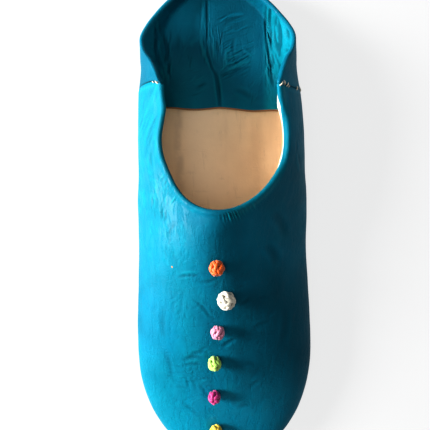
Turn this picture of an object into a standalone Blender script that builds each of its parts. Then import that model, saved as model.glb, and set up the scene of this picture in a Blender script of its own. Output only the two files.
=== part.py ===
"""Babouche slipper: leather sole, hollow upper on a true last, folded heel piece and a row of thread balls.

The toe points along -Y, the heel along +Y, and the sole stands on the XY plane.
Lengths are in metres. The last's outline is even left and right, so the slipper fits either foot.
"""
import math
from collections import namedtuple

import bmesh
import bpy
from mathutils import Matrix, Vector

# Sizes of the whole shoe
LENGTH = 0.246
BALL_WIDTH = 0.0914
HEEL_WIDTH = 0.0770
INSTEP_HEIGHT = 0.0540
SEAM_HEIGHT = 0.0450
BULGE_HEIGHT = 0.0120
CLEARANCE = 0.0003

# Rounding of the outline at both ends
TOE_ROUND = 0.0600
HEEL_ROUND = 0.0420
NOSE_ROUND = 0.0160
TOE_SQUARENESS = 2.15
HEEL_SQUARENESS = 1.85
NOSE_SQUARENESS = 2.2

# Sole and insole
OUTSOLE_THICKNESS = 0.0035
OUTSOLE_INSET = 0.0024
INSOLE_THICKNESS = 0.0032
TOE_SPRING = 0.0030
ARCH_LIFT = 0.0014
SPRING_START = 0.18
ARCH_FRONT = 0.40
ARCH_BACK = 0.68
SOLE_EDGE = 0.0007

# Upper and its collar
UPPER_WALL = 0.0020
TUCK_UNDER = 0.0030
TUCK_TURN = math.radians(58.0)
COLLAR_WIDTH = 0.0566
COLLAR_ROUND = 0.0295
THROAT_ALONG = 0.5525
SEAM_ALONG = 0.779
SEAM_NARROWING = 0.97
ROLL_WIDTH = 0.0034
ROLL_RAISE = 0.0007
WING_FULLNESS = 2.0

# Heel piece
QUARTER_WALL = 0.0015
FOLD_RADIUS = 0.0019
FLAP_LENGTH = 0.0448
FLAP_FRONT_ALONG = 0.7447
CREASE_ROUND = 0.0050
SEAM_STRIP = 0.0010

# How finely the shells and soles are divided
TOE_COLUMNS = 9
SIDE_COLUMNS = 13
VAMP_ROWS = 13
TUCK_ROWS = 4
QUARTER_COLUMNS = 12
WALL_ROWS = 4
FOLD_ROWS = 4
CREASE_ROWS = 5
FLAP_ROWS = 5
SOLE_STEPS = 36
OUTLINE_SAMPLES = 400
FAN = 2.2
EDGE_CROWDING = 1.8

# The side of the last between its two round ends. along: share of the length from the toe tip.
# heelward: how far the width has gone from that of the ball to that of the heel. swell: a factor.
Side = namedtuple("Side", "along heelward swell")
SIDES = (
    Side(0.244, 0.00, 1.000),
    Side(0.386, 0.02, 0.972),
    Side(0.455, 0.15, 0.973),
    Side(0.557, 0.25, 0.998),
    Side(0.618, 0.40, 1.000),
    Side(0.703, 0.60, 1.014),
    Side(0.764, 0.80, 1.020),
    Side(0.829, 1.00, 1.000),
)

# Sections of the vamp. instep and wing: shares of the rise at the throat and of that of the wings.
# fullness: 1.4 is a roof with a soft ridge, 2.2 is a full round. lean: where the ridge runs, as a
# share of the ball width, to the wearer's right.
Section = namedtuple("Section", "along instep wing fullness lean")
SECTIONS = (
    Section(0.000, 0.235, 0.00, 2.20, -0.050),
    Section(0.065, 0.255, 0.00, 2.20, -0.055),
    Section(0.175, 0.445, 0.00, 2.00, -0.055),
    Section(0.252, 0.565, 0.00, 1.85, -0.045),
    Section(0.321, 0.680, 0.00, 1.72, -0.030),
    Section(0.390, 0.795, 0.00, 1.60, -0.018),
    Section(0.451, 0.900, 0.00, 1.50, -0.014),
    Section(0.555, 1.000, 0.00, 1.45, -0.012),
    Section(0.671, 0.420, 0.64, 1.85, -0.004),
    Section(0.779, 0.000, 1.00, WING_FULLNESS, 0.000),
)

# Sections of the folded heel, from the back (0) round to the side seam (1). ridge: height of the
# fold as a share of the seam's. ridge_inset: share of the wall's lean at the seam. crease_inset:
# share of the heel width. crease_forward: share of the length.
Fold = namedtuple("Fold", "around ridge ridge_inset crease_inset crease_forward")
FOLDS = (
    Fold(0.00, 0.36, 0.12, 0.146, 0.000),
    Fold(0.30, 0.40, 0.10, 0.117, 0.000),
    Fold(0.50, 0.48, 0.08, 0.114, 0.000),
    Fold(0.60, 0.56, 0.06, 0.120, 0.004),
    Fold(0.70, 0.66, 0.07, 0.138, 0.010),
    Fold(0.85, 0.80, 0.46, 0.143, 0.020),
    Fold(1.00, 1.00, 1.00, 0.112, 0.031),
)

# Thread balls. along and across: shares of the length and of the ball width. stretch: along the toe.
Ball = namedtuple("Ball", "name along across diameter stretch turn colour")
BALLS = (
    Ball("pompom_orange", 0.4524, -0.0241, 0.0074, 1.03, 0.2, (0.86, 0.18, 0.035)),
    Ball("pompom_white", 0.3886, 0.0088, 0.0088, 1.06, 0.9, (0.84, 0.80, 0.76)),
    Ball("pompom_pink", 0.3203, -0.0328, 0.0072, 1.03, 0.5, (0.86, 0.22, 0.38)),
    Ball("pompom_green", 0.2516, -0.0536, 0.0070, 1.14, 0.7, (0.34, 0.62, 0.06)),
    Ball("pompom_magenta", 0.1728, -0.0602, 0.0069, 1.10, 0.1, (0.60, 0.03, 0.25)),
    Ball("pompom_yellow", 0.0874, -0.0569, 0.0072, 1.02, 0.6, (0.90, 0.62, 0.06)),
)
BALL_SEGMENTS = 22
BALL_RINGS = 12
STRANDS = 5
STRAND_DEPTH = 0.13
BALL_SEAT = 0.84

# Leather and thread colours
TEAL = (0.012, 0.235, 0.345)
TAN = (0.470, 0.270, 0.130)
SOLE_BROWN = (0.330, 0.190, 0.100)

TOE_Y = -LENGTH / 2
HEEL_Y = LENGTH / 2
TOE_SIDE_Y = TOE_Y + TOE_ROUND
HEEL_SIDE_Y = HEEL_Y - HEEL_ROUND
TOE_ZONE = 0.3
HEEL_ZONE = 0.7


def along_to_y(along):
    """Place on the length axis, from a share of the length counted from the toe tip."""
    return TOE_Y + along * LENGTH


def y_to_along(y):
    """Share of the length at a place on the length axis."""
    return (y - TOE_Y) / LENGTH


def read_table(rows, column, at, level_ends=False):
    """A smooth curve through one column of a table, by cubic pieces between its rows."""
    keys = [row[0] for row in rows]
    values = [getattr(row, column) for row in rows]
    at = min(max(at, keys[0]), keys[-1])
    last = len(rows) - 1
    piece = max(i for i in range(last) if keys[i] <= at)

    def slope(i):
        if level_ends and i in (0, last):
            return 0.0
        before, after = max(i - 1, 0), min(i + 1, last)
        return (values[after] - values[before]) / (keys[after] - keys[before])

    span = keys[piece + 1] - keys[piece]
    t = (at - keys[piece]) / span
    start = values[piece] * (1 + 2 * t) * (1 - t) ** 2 + slope(piece) * span * t * (1 - t) ** 2
    end = values[piece + 1] * t * t * (3 - 2 * t) + slope(piece + 1) * span * t * t * (t - 1)
    return start + end


def superellipse(share, squareness):
    """Height of a superellipse's quarter, from 0 at its end to 1 at its middle."""
    share = min(max(share, 0.0), 1.0)
    return (1 - (1 - share) ** squareness) ** (1 / squareness)


def half_width(y):
    """Half the width of the last's outline, at its bulge."""
    if y < TOE_SIDE_Y:
        return BALL_WIDTH / 2 * superellipse((y - TOE_Y) / TOE_ROUND, TOE_SQUARENESS)
    if y > HEEL_SIDE_Y:
        return HEEL_WIDTH / 2 * superellipse((HEEL_Y - y) / HEEL_ROUND, HEEL_SQUARENESS)
    first, final = SIDES[0].along, SIDES[-1].along
    at = first + (final - first) * (y - TOE_SIDE_Y) / (HEEL_SIDE_Y - TOE_SIDE_Y)
    heelward = read_table(SIDES, "heelward", at, level_ends=True)
    swell = read_table(SIDES, "swell", at, level_ends=True)
    return (BALL_WIDTH + (HEEL_WIDTH - BALL_WIDTH) * heelward) / 2 * swell


def outline(s):
    """Point of the outline's right half, s from 0 at the toe tip to 1 at the heel tip."""
    mirror = -1.0 if s < 0 or s > 1 else 1.0
    s = -s if s < 0 else s
    s = 2 - s if s > 1 else s
    if s < TOE_ZONE:
        turn = math.pi / 2 * s / TOE_ZONE
        y = TOE_Y + TOE_ROUND * (1 - math.cos(turn) ** (2 / TOE_SQUARENESS))
        x = BALL_WIDTH / 2 * math.sin(turn) ** (2 / TOE_SQUARENESS)
        return Vector((mirror * x, y))
    if s > HEEL_ZONE:
        turn = math.pi / 2 * (1 - s) / (1 - HEEL_ZONE)
        y = HEEL_Y - HEEL_ROUND * (1 - math.cos(turn) ** (2 / HEEL_SQUARENESS))
        x = HEEL_WIDTH / 2 * math.sin(turn) ** (2 / HEEL_SQUARENESS)
        return Vector((mirror * x, y))
    y = TOE_SIDE_Y + (HEEL_SIDE_Y - TOE_SIDE_Y) * (s - TOE_ZONE) / (HEEL_ZONE - TOE_ZONE)
    return Vector((mirror * half_width(y), y))


def outline_share(y):
    """The outline's s at a place on its side, between the two round ends."""
    return TOE_ZONE + (HEEL_ZONE - TOE_ZONE) * (y - TOE_SIDE_Y) / (HEEL_SIDE_Y - TOE_SIDE_Y)


def outline_normal(s):
    """Unit vector out of the outline at s."""
    step = 0.004
    run = outline(s + step) - outline(s - step)
    return Vector((run.y, -run.x)).normalized()


def walk_outline(start, end, steps):
    """Values of s from start to end, evenly spaced along the outline."""
    marks = [start + (end - start) * i / OUTLINE_SAMPLES for i in range(OUTLINE_SAMPLES + 1)]
    reached = [0.0]
    for before, after in zip(marks, marks[1:]):
        reached.append(reached[-1] + (outline(after) - outline(before)).length)
    walked = []
    at = 0
    for i in range(steps + 1):
        goal = reached[-1] * i / steps
        while at < OUTLINE_SAMPLES - 1 and reached[at + 1] < goal:
            at += 1
        part = (goal - reached[at]) / (reached[at + 1] - reached[at])
        walked.append(marks[at] + (marks[at + 1] - marks[at]) * min(part, 1.0))
    return walked


def lift(y):
    """How far the sole's underside is off the floor: spring at the toe, a low arch at the waist."""
    along = y_to_along(y)
    spring = max(0.0, (SPRING_START - along) / SPRING_START)
    arch = (along - ARCH_FRONT) / (ARCH_BACK - ARCH_FRONT)
    arch = math.sin(math.pi * min(max(arch, 0.0), 1.0)) ** 2
    return TOE_SPRING * spring ** 2 + ARCH_LIFT * arch


def rim_height(y):
    """Lower edge of the upper, just over the sole."""
    return lift(y) + OUTSOLE_THICKNESS + CLEARANCE


def bulge_height(y):
    """Height at which the upper is widest."""
    return lift(y) + BULGE_HEIGHT


def insole_top(y):
    """Top face of the insole."""
    return rim_height(y) + INSOLE_THICKNESS


def flap_height(y):
    """Grain side of the heel flap where it lies on the insole."""
    return insole_top(y) + CLEARANCE + QUARTER_WALL


SEAM_Y = along_to_y(SEAM_ALONG)
SEAM_TOP_X = COLLAR_WIDTH / 2 * SEAM_NARROWING
SEAM_LEAN = half_width(SEAM_Y) - SEAM_TOP_X


def arch_share(side, fullness):
    """Share of the rise left at a place between the ridge (0) and the outline (1)."""
    side = min(max(side, 0.0), 1.0)
    return (1 - side ** fullness) ** (1 / fullness)


WING_RISE = (SEAM_HEIGHT - BULGE_HEIGHT) / arch_share(SEAM_TOP_X / half_width(SEAM_Y), WING_FULLNESS)


def ridge_x(y):
    """Where the ridge of the vamp runs."""
    lean = read_table(SECTIONS, "lean", y_to_along(y))
    return lean * BALL_WIDTH * min(1.0, half_width(y) / (BALL_WIDTH / 2))


def vamp_rise(y):
    """Height of the ridge over the bulge."""
    along = y_to_along(y)
    rise = read_table(SECTIONS, "instep", along) * (INSTEP_HEIGHT - BULGE_HEIGHT)
    rise += read_table(SECTIONS, "wing", along) * WING_RISE
    return rise * superellipse((y - TOE_Y) / NOSE_ROUND, NOSE_SQUARENESS)


def vamp_point(x, y):
    """Point of the upper's outer face over a place in plan."""
    ridge = ridge_x(y)
    width = half_width(y)
    room = width - ridge if x > ridge else width + ridge
    side = abs(x - ridge) / room if room > CLEARANCE else 1.0
    fullness = read_table(SECTIONS, "fullness", y_to_along(y))
    return Vector((x, y, bulge_height(y) + vamp_rise(y) * arch_share(side, fullness)))


def vamp_normal(x, y):
    """Unit vector out of the upper's outer face."""
    step = 0.0008
    across = vamp_point(x + step, y) - vamp_point(x - step, y)
    forward = vamp_point(x, y + step) - vamp_point(x, y - step)
    return across.cross(forward).normalized()


def collar_point(share):
    """Point of the collar's right half in plan, from the throat (0) to the side seam (1)."""
    bend = 0.64
    throat = along_to_y(THROAT_ALONG)
    if share < bend:
        turn = math.pi / 2 * share / bend
        return Vector((COLLAR_WIDTH / 2 * math.sin(turn), throat + COLLAR_ROUND * (1 - math.cos(turn))))
    part = (share - bend) / (1 - bend)
    start = Vector((COLLAR_WIDTH / 2, throat + COLLAR_ROUND))
    return start.lerp(Vector((SEAM_TOP_X, SEAM_Y)), part)


def tuck_rows(s, side):
    """Points from the bulge down to the lower edge, where the upper turns in over the sole."""
    rows = []
    for i in range(1, TUCK_ROWS + 1):
        turn = TUCK_TURN * i / TUCK_ROWS
        inset = TUCK_UNDER * (1 - math.cos(turn)) / (1 - math.cos(TUCK_TURN))
        place = outline(s) - outline_normal(s) * inset
        drop = (bulge_height(place.y) - rim_height(place.y)) * math.sin(turn) / math.sin(TUCK_TURN)
        rows.append(Vector((side * place.x, place.y, bulge_height(place.y) - drop)))
    return rows


def grid_mesh(name, columns):
    """Mesh object of a sheet given by its columns of points, each of the same count."""
    mesh = bpy.data.meshes.new(name)
    sheet = bmesh.new()
    verts = [[sheet.verts.new(point) for point in column] for column in columns]
    for left, right in zip(verts, verts[1:]):
        for i in range(len(left) - 1):
            sheet.faces.new((left[i], left[i + 1], right[i + 1], right[i]))
    bmesh.ops.remove_doubles(sheet, verts=sheet.verts, dist=0.00002)
    bmesh.ops.recalc_face_normals(sheet, faces=sheet.faces)
    sheet.to_mesh(mesh)
    sheet.free()
    return bpy.data.objects.new(name, mesh)


def face_outward(made, toward):
    """Turns a sheet's faces over if most of them look away from a direction."""
    total = sum((face.normal * face.area for face in made.data.polygons), Vector())
    if total.dot(toward) < 0:
        made.data.flip_normals()


def material(name, colour, roughness):
    """A plain leather or thread finish."""
    made = bpy.data.materials.new(name)
    made.use_nodes = True
    shader = made.node_tree.nodes["Principled BSDF"]
    shader.inputs["Base Color"].default_value = (*colour, 1.0)
    shader.inputs["Roughness"].default_value = roughness
    shader.inputs["Metallic"].default_value = 0.0
    return made


def add_piece(made, finish, root):
    """Puts a piece in the slipper's collection, under its root, with its finish."""
    bpy.data.collections["babouche_slipper"].objects.link(made)
    made.parent = root
    made.data.materials.append(finish)
    made.data.shade_smooth()
    made.data.set_sharp_from_angle(angle=math.radians(40))


def thicken(made, wall, group=None):
    """Gives a sheet its wall, on the side away from its faces."""
    solidify = made.modifiers.new("wall", "SOLIDIFY")
    solidify.thickness = wall
    solidify.offset = -1.0
    solidify.use_even_offset = True
    solidify.use_quality_normals = True
    if group is not None:
        solidify.vertex_group = group


def mirror(made):
    """Adds the left half to a piece modelled as its right half."""
    halves = made.modifiers.new("halves", "MIRROR")
    halves.use_axis = (True, False, False)
    halves.merge_threshold = 0.00002


def sole_slab(name, inset, height, thickness):
    """Right half of a flat piece that follows the last's outline: level rings and two caps."""
    edge = min(SOLE_EDGE, thickness / 3)
    rings = ((0.0, edge), (edge, edge * 0.3), (thickness / 2, 0.0), (thickness - edge, edge * 0.3),
             (thickness, edge))
    mesh = bpy.data.meshes.new(name)
    slab = bmesh.new()
    ring_verts = []
    spine_verts = []
    for level, draw in rings:
        ring = []
        spine = []
        for s in walk_outline(0.0, 1.0, SOLE_STEPS):
            place = outline(s) - outline_normal(s) * (inset + draw)
            on_axis = s in (0.0, 1.0) or abs(place.x) < CLEARANCE / 10
            z = height(place.y) + level
            ring.append(slab.verts.new((0.0 if on_axis else place.x, place.y, z)))
            spine.append(ring[-1] if on_axis else slab.verts.new((0.0, place.y, z)))
        ring_verts.append(ring)
        spine_verts.append(spine)
    for low, high in zip(ring_verts, ring_verts[1:]):
        for i in range(SOLE_STEPS):
            slab.faces.new((low[i], low[i + 1], high[i + 1], high[i]))
    for ring, spine in ((ring_verts[0], spine_verts[0]), (ring_verts[-1], spine_verts[-1])):
        for i in range(SOLE_STEPS):
            corners = []
            for corner in (ring[i], ring[i + 1], spine[i + 1], spine[i]):
                if corner not in corners:
                    corners.append(corner)
            slab.faces.new(corners)
    loose = [vert for vert in slab.verts if not vert.link_faces]
    bmesh.ops.delete(slab, geom=loose, context="VERTS")
    bmesh.ops.recalc_face_normals(slab, faces=slab.faces)
    slab.to_mesh(mesh)
    slab.free()
    return bpy.data.objects.new(name, mesh)


def make_outsole(root):
    """Leather sole, set in a little under the bulge of the upper."""
    made = sole_slab("outsole", OUTSOLE_INSET, lift, OUTSOLE_THICKNESS)
    add_piece(made, material("sole_leather", SOLE_BROWN, 0.62), root)
    mirror(made)


def make_insole(root):
    """Insole, inside the tucked-in wall of the upper."""
    inset = TUCK_UNDER + UPPER_WALL + CLEARANCE
    made = sole_slab("insole", inset, rim_height, INSOLE_THICKNESS)
    add_piece(made, material("tan_leather", TAN, 0.55), root)
    mirror(made)


def upper_column(s, side, share):
    """Points of the upper from its collar down to its lower edge, along one spoke."""
    collar = collar_point(share)
    foot = outline(s)
    spoke = (foot - collar).length
    marks = [part * ROLL_WIDTH / spoke for part in (0.0, 0.2, 0.5, 0.8, 1.0)]
    raises = [0.55, 0.95, 1.0, 0.85, 0.0]
    for i in range(1, VAMP_ROWS + 1):
        crowd = 1 - (1 - i / VAMP_ROWS) ** EDGE_CROWDING
        marks.append(marks[4] + (1 - marks[4]) * crowd)
        raises.append(0.0)
    points = []
    for mark, raised in zip(marks, raises):
        plan = collar.lerp(foot, mark)
        x = side * plan.x
        width = half_width(plan.y)
        if width > 0:
            x += ridge_x(plan.y) * (1 - min(abs(x) / width, 1.0))
        point = vamp_point(x, plan.y)
        if raised:
            point += vamp_normal(x, plan.y) * ROLL_RAISE * raised
        points.append(point)
    return points + tuck_rows(s, side)


def upper_columns():
    """Spokes of the upper from the left side seam round the toe to the right one."""
    seam = outline_share(SEAM_Y)
    count = TOE_COLUMNS + SIDE_COLUMNS
    right = []
    for i, s in enumerate(walk_outline(0.0, seam, count)):
        share = (i / count) ** FAN
        right.append((s, share))
    left = [upper_column(s, -1.0, share) for s, share in reversed(right[1:])]
    return left + [upper_column(s, 1.0, share) for s, share in right]


def make_upper(root):
    """Vamp and wings: one hollow shell, open at the collar, at the back and underneath."""
    columns = upper_columns()
    made = grid_mesh("upper", columns)
    face_outward(made, Vector((0.0, 0.0, 1.0)))
    rolled = {tuple(round(c, 6) for c in point) for column in columns for point in column[:4]}
    group = made.vertex_groups.new(name="wall")
    plain = UPPER_WALL / (UPPER_WALL + ROLL_RAISE)
    for vert in made.data.vertices:
        on_roll = tuple(round(c, 6) for c in vert.co) in rolled
        group.add([vert.index], 1.0 if on_roll else plain, "REPLACE")
    add_piece(made, material("teal_leather", TEAL, 0.42), root)
    thicken(made, UPPER_WALL + ROLL_RAISE, "wall")


def quarter_column(s, around):
    """Points of the heel piece from its lower edge up, over the fold and down to the flap's middle."""
    foot = outline(s)
    inward = Vector((-1.0, 0.0)) if s <= HEEL_ZONE else -outline_normal(s)
    if s >= 1.0:
        inward = Vector((0.0, -1.0))
    top = read_table(FOLDS, "ridge", around) * SEAM_HEIGHT
    inset = read_table(FOLDS, "ridge_inset", around) * SEAM_LEAN
    points = list(reversed(tuck_rows(s, 1.0)))

    def at(depth, z):
        plan = foot + inward * depth
        return Vector((plan.x, plan.y, z))

    base = bulge_height(foot.y)
    lean = inset / half_width(SEAM_Y)
    for i in range(WALL_ROWS + 1):
        part = (i / WALL_ROWS) ** 2
        share = arch_share(1 - lean * part, WING_FULLNESS) / arch_share(1 - lean, WING_FULLNESS)
        points.append(at(inset * part, base + (top - base) * share))

    # Turn over the fold, from the wall's own direction to that of the inner layer
    floor = flap_height(foot.y)
    crease_inset = read_table(FOLDS, "crease_inset", around) * HEEL_WIDTH
    rise = points[-1] - points[-2]
    run = Vector((rise.x, rise.y)).dot(inward)
    start = math.atan2(rise.z, run)
    end = -math.atan2(top - floor, crease_inset - inset - 2 * FOLD_RADIUS)
    centre_depth = inset + FOLD_RADIUS * math.sin(start)
    centre_z = top - FOLD_RADIUS * math.cos(start)
    for i in range(1, FOLD_ROWS + 1):
        turn = start + (end - start) * i / FOLD_ROWS
        points.append(at(centre_depth - FOLD_RADIUS * math.sin(turn), centre_z + FOLD_RADIUS * math.cos(turn)))

    # Inner layer, crease and flap
    forward = read_table(FOLDS, "crease_forward", around) * LENGTH
    crease = at(crease_inset, floor) - Vector((0.0, forward, 0.0))
    front = along_to_y(FLAP_FRONT_ALONG)
    middle = Vector((0.0, front + FLAP_LENGTH * (1 - around), 0.0))
    middle.z = flap_height(middle.y)
    reach = min(CREASE_ROUND, (middle - crease).length / 2)
    landing = crease + (middle - crease).normalized() * reach
    inner = points[-1]
    heading = at(1.0, 0.0) - at(0.0, 0.0)
    guide = inner + (heading * math.cos(end) + Vector((0.0, 0.0, math.sin(end)))) * (top - floor) * 0.35
    for i in range(1, CREASE_ROWS + 1):
        t = i / CREASE_ROWS
        curve = inner * (1 - t) ** 3 + guide * 3 * t * (1 - t) ** 2
        points.append(curve + crease * 3 * t * t * (1 - t) + landing * t ** 3)
    for i in range(1, FLAP_ROWS + 1):
        points.append(landing.lerp(middle, i / FLAP_ROWS))
    return points


def make_heel_quarter(root):
    """Heel piece, trodden down: outer wall, fold, inner layer and the flap on the insole."""
    seam = outline_share(SEAM_Y + CLEARANCE)
    strip = outline_share(SEAM_Y + CLEARANCE + SEAM_STRIP)
    columns = []
    for i, s in enumerate(walk_outline(1.0, strip, QUARTER_COLUMNS)):
        columns.append(quarter_column(s, i / QUARTER_COLUMNS))
    columns.append(quarter_column(seam, 1.0))
    for point in columns[0]:
        point.x = 0.0
    made = grid_mesh("heel_quarter", columns)
    face_outward(made, Vector((0.0, 0.0, 1.0)))
    add_piece(made, material("teal_leather_heel", TEAL, 0.45), root)
    mirror(made)
    thicken(made, QUARTER_WALL)


def strand_height(longitude, latitude):
    """Relief of the knotted strands on a ball, 0 in the gaps to 1 on top of a strand."""
    u = STRANDS * (longitude / math.tau + latitude / math.pi)
    v = STRANDS * (longitude / math.tau - latitude / math.pi)
    over = abs(math.sin(math.pi * u)) * (0.55 + 0.45 * math.cos(math.pi * v) ** 2)
    under = abs(math.sin(math.pi * v)) * (0.55 + 0.45 * math.sin(math.pi * v) ** 2)
    return max(over, under)


def make_ball(ball, root):
    """Thread ball sewn on the ridge: a sphere with its knotted strands raised and a flat seat."""
    radius = ball.diameter / 2
    mesh = bpy.data.meshes.new(ball.name)
    knot = bmesh.new()
    bmesh.ops.create_uvsphere(knot, u_segments=BALL_SEGMENTS, v_segments=BALL_RINGS, radius=radius)
    for vert in knot.verts:
        longitude = math.atan2(vert.co.y, vert.co.x)
        latitude = math.asin(min(max(vert.co.z / radius, -1.0), 1.0))
        vert.co *= 1 - STRAND_DEPTH * (1 - strand_height(longitude, latitude))
        vert.co.z = max(vert.co.z, -BALL_SEAT * radius)
    knot.to_mesh(mesh)
    knot.free()
    made = bpy.data.objects.new(ball.name, mesh)
    x = ball.across * BALL_WIDTH
    y = along_to_y(ball.along)
    normal = vamp_normal(x, y)
    made.location = vamp_point(x, y) + normal * (BALL_SEAT * radius + CLEARANCE)
    made.rotation_euler = normal.to_track_quat("Z", "Y").to_euler()
    stretch = Matrix.Diagonal((1.0, ball.stretch, 1.0)).to_4x4()
    made.data.transform(stretch @ Matrix.Rotation(ball.turn, 4, "Z"))
    add_piece(made, material(ball.name + "_thread", ball.colour, 0.75), root)


def clear_scene():
    """Empties the scene, so that the script can run again."""
    for old in list(bpy.data.objects):
        bpy.data.objects.remove(old, do_unlink=True)
    for old in list(bpy.data.collections):
        bpy.data.collections.remove(old)


def main():
    clear_scene()
    shoe = bpy.data.collections.new("babouche_slipper")
    bpy.context.scene.collection.children.link(shoe)
    root = bpy.data.objects.new("slipper_root", None)
    shoe.objects.link(root)
    make_outsole(root)
    make_insole(root)
    make_upper(root)
    make_heel_quarter(root)
    for ball in BALLS:
        make_ball(ball, root)


if __name__ == "__main__":
    main()
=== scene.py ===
"""Teal leather babouche with a trodden-down heel and a row of knotted thread balls."""

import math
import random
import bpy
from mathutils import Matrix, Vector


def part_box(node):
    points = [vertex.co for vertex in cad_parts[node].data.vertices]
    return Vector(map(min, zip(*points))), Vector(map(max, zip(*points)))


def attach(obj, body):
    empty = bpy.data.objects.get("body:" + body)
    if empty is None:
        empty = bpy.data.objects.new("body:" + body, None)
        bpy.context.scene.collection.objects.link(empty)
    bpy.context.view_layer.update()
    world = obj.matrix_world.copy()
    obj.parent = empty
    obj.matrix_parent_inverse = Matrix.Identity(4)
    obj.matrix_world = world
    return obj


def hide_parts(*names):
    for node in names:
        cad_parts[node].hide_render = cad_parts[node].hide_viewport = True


bl_info = {
    "name": "Babouche Slipper",
    "version": (1, 0, 0),
    "blender": (4, 5, 0),
    "location": "View3D > Sidebar > Slipper",
    "description": "Builds a leather slipper with its creases, linings, stitches and thread balls",
    "category": "Object",
}

from collections import namedtuple

import bmesh
import bpy
import numpy as np
from mathutils import Euler, Matrix, Vector, noise

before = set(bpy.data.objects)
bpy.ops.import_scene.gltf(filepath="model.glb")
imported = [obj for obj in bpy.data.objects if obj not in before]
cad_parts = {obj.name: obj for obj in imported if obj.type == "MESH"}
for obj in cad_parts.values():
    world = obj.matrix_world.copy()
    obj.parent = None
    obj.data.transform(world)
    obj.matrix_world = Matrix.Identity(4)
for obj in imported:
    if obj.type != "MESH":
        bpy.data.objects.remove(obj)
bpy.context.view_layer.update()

MM = 0.001
TOE_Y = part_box("upper")[0].y
HEEL_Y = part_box("heel_quarter")[1].y

# The toe points along -Y. Right is towards +X, seen from above with the toe down, and heelward is
# towards +Y.

# The side of the last between its two round ends, the sections of the vamp and those of the folded
# heel. along: share of the length from the toe tip. around: from the middle of the heel (0) to the
# side seam (1). The other columns are shares of named sizes, and fullness is how square a section is.
Side = namedtuple("Side", "along heelward swell")
SIDES = (
    Side(0.244, 0.00, 1.000),
    Side(0.386, 0.02, 0.972),
    Side(0.455, 0.15, 0.973),
    Side(0.557, 0.25, 0.998),
    Side(0.618, 0.40, 1.000),
    Side(0.703, 0.60, 1.014),
    Side(0.764, 0.80, 1.020),
    Side(0.829, 1.00, 1.000),
)
Section = namedtuple("Section", "along instep wing fullness lean")
SECTIONS = (
    Section(0.000, 0.235, 0.00, 2.20, -0.050),
    Section(0.065, 0.255, 0.00, 2.20, -0.055),
    Section(0.175, 0.445, 0.00, 2.00, -0.055),
    Section(0.252, 0.565, 0.00, 1.85, -0.045),
    Section(0.321, 0.680, 0.00, 1.72, -0.030),
    Section(0.390, 0.795, 0.00, 1.60, -0.018),
    Section(0.451, 0.900, 0.00, 1.50, -0.014),
    Section(0.555, 1.000, 0.00, 1.45, -0.012),
    Section(0.671, 0.420, 0.64, 1.85, -0.004),
    Section(0.779, 0.000, 1.00, 2.00, 0.000),
)
Fold = namedtuple("Fold", "around ridge ridge_inset crease_inset crease_forward")
FOLDS = (
    Fold(0.00, 0.36, 0.12, 0.052, 0.000),
    Fold(0.30, 0.40, 0.10, 0.047, 0.000),
    Fold(0.50, 0.48, 0.08, 0.062, 0.000),
    Fold(0.60, 0.56, 0.06, 0.092, 0.004),
    Fold(0.70, 0.66, 0.07, 0.122, 0.010),
    Fold(0.78, 0.74, 0.23, 0.122, 0.016),
    Fold(0.86, 0.82, 0.50, 0.098, 0.021),
    Fold(1.00, 1.00, 1.00, 0.082, 0.031),
)

# How the collar edge leans in over the foot bed, on either side. along: millimetres from the middle
# of the shoe, heelward. left and right: millimetres towards the middle.
Lean = namedtuple("Lean", "along left right")
LEANS = (
    Lean(8.0, 0.0, 0.0),
    Lean(14.0, 0.3, 0.3),
    Lean(19.0, 1.1, 0.2),
    Lean(27.0, 2.1, 0.0),
    Lean(37.0, 1.9, 0.0),
    Lean(45.0, 1.9, 0.0),
    Lean(51.0, 3.1, 0.5),
    Lean(57.0, 4.3, 1.3),
    Lean(62.0, 3.7, 1.8),
    Lean(70.0, 3.1, 2.1),
)

# How the side seams wander. across and slip: millimetres, slip heelward.
Slip = namedtuple("Slip", "across slip")
SLIPS = (
    Slip(-39.0, 0.7),
    Slip(-33.0, 1.1),
    Slip(-29.0, 0.7),
    Slip(-26.6, -0.3),
    Slip(-24.0, -1.8),
    Slip(0.0, -1.8),
    Slip(25.6, -2.0),
    Slip(28.5, -1.7),
    Slip(34.5, -2.1),
    Slip(39.0, -1.4),
)

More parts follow.
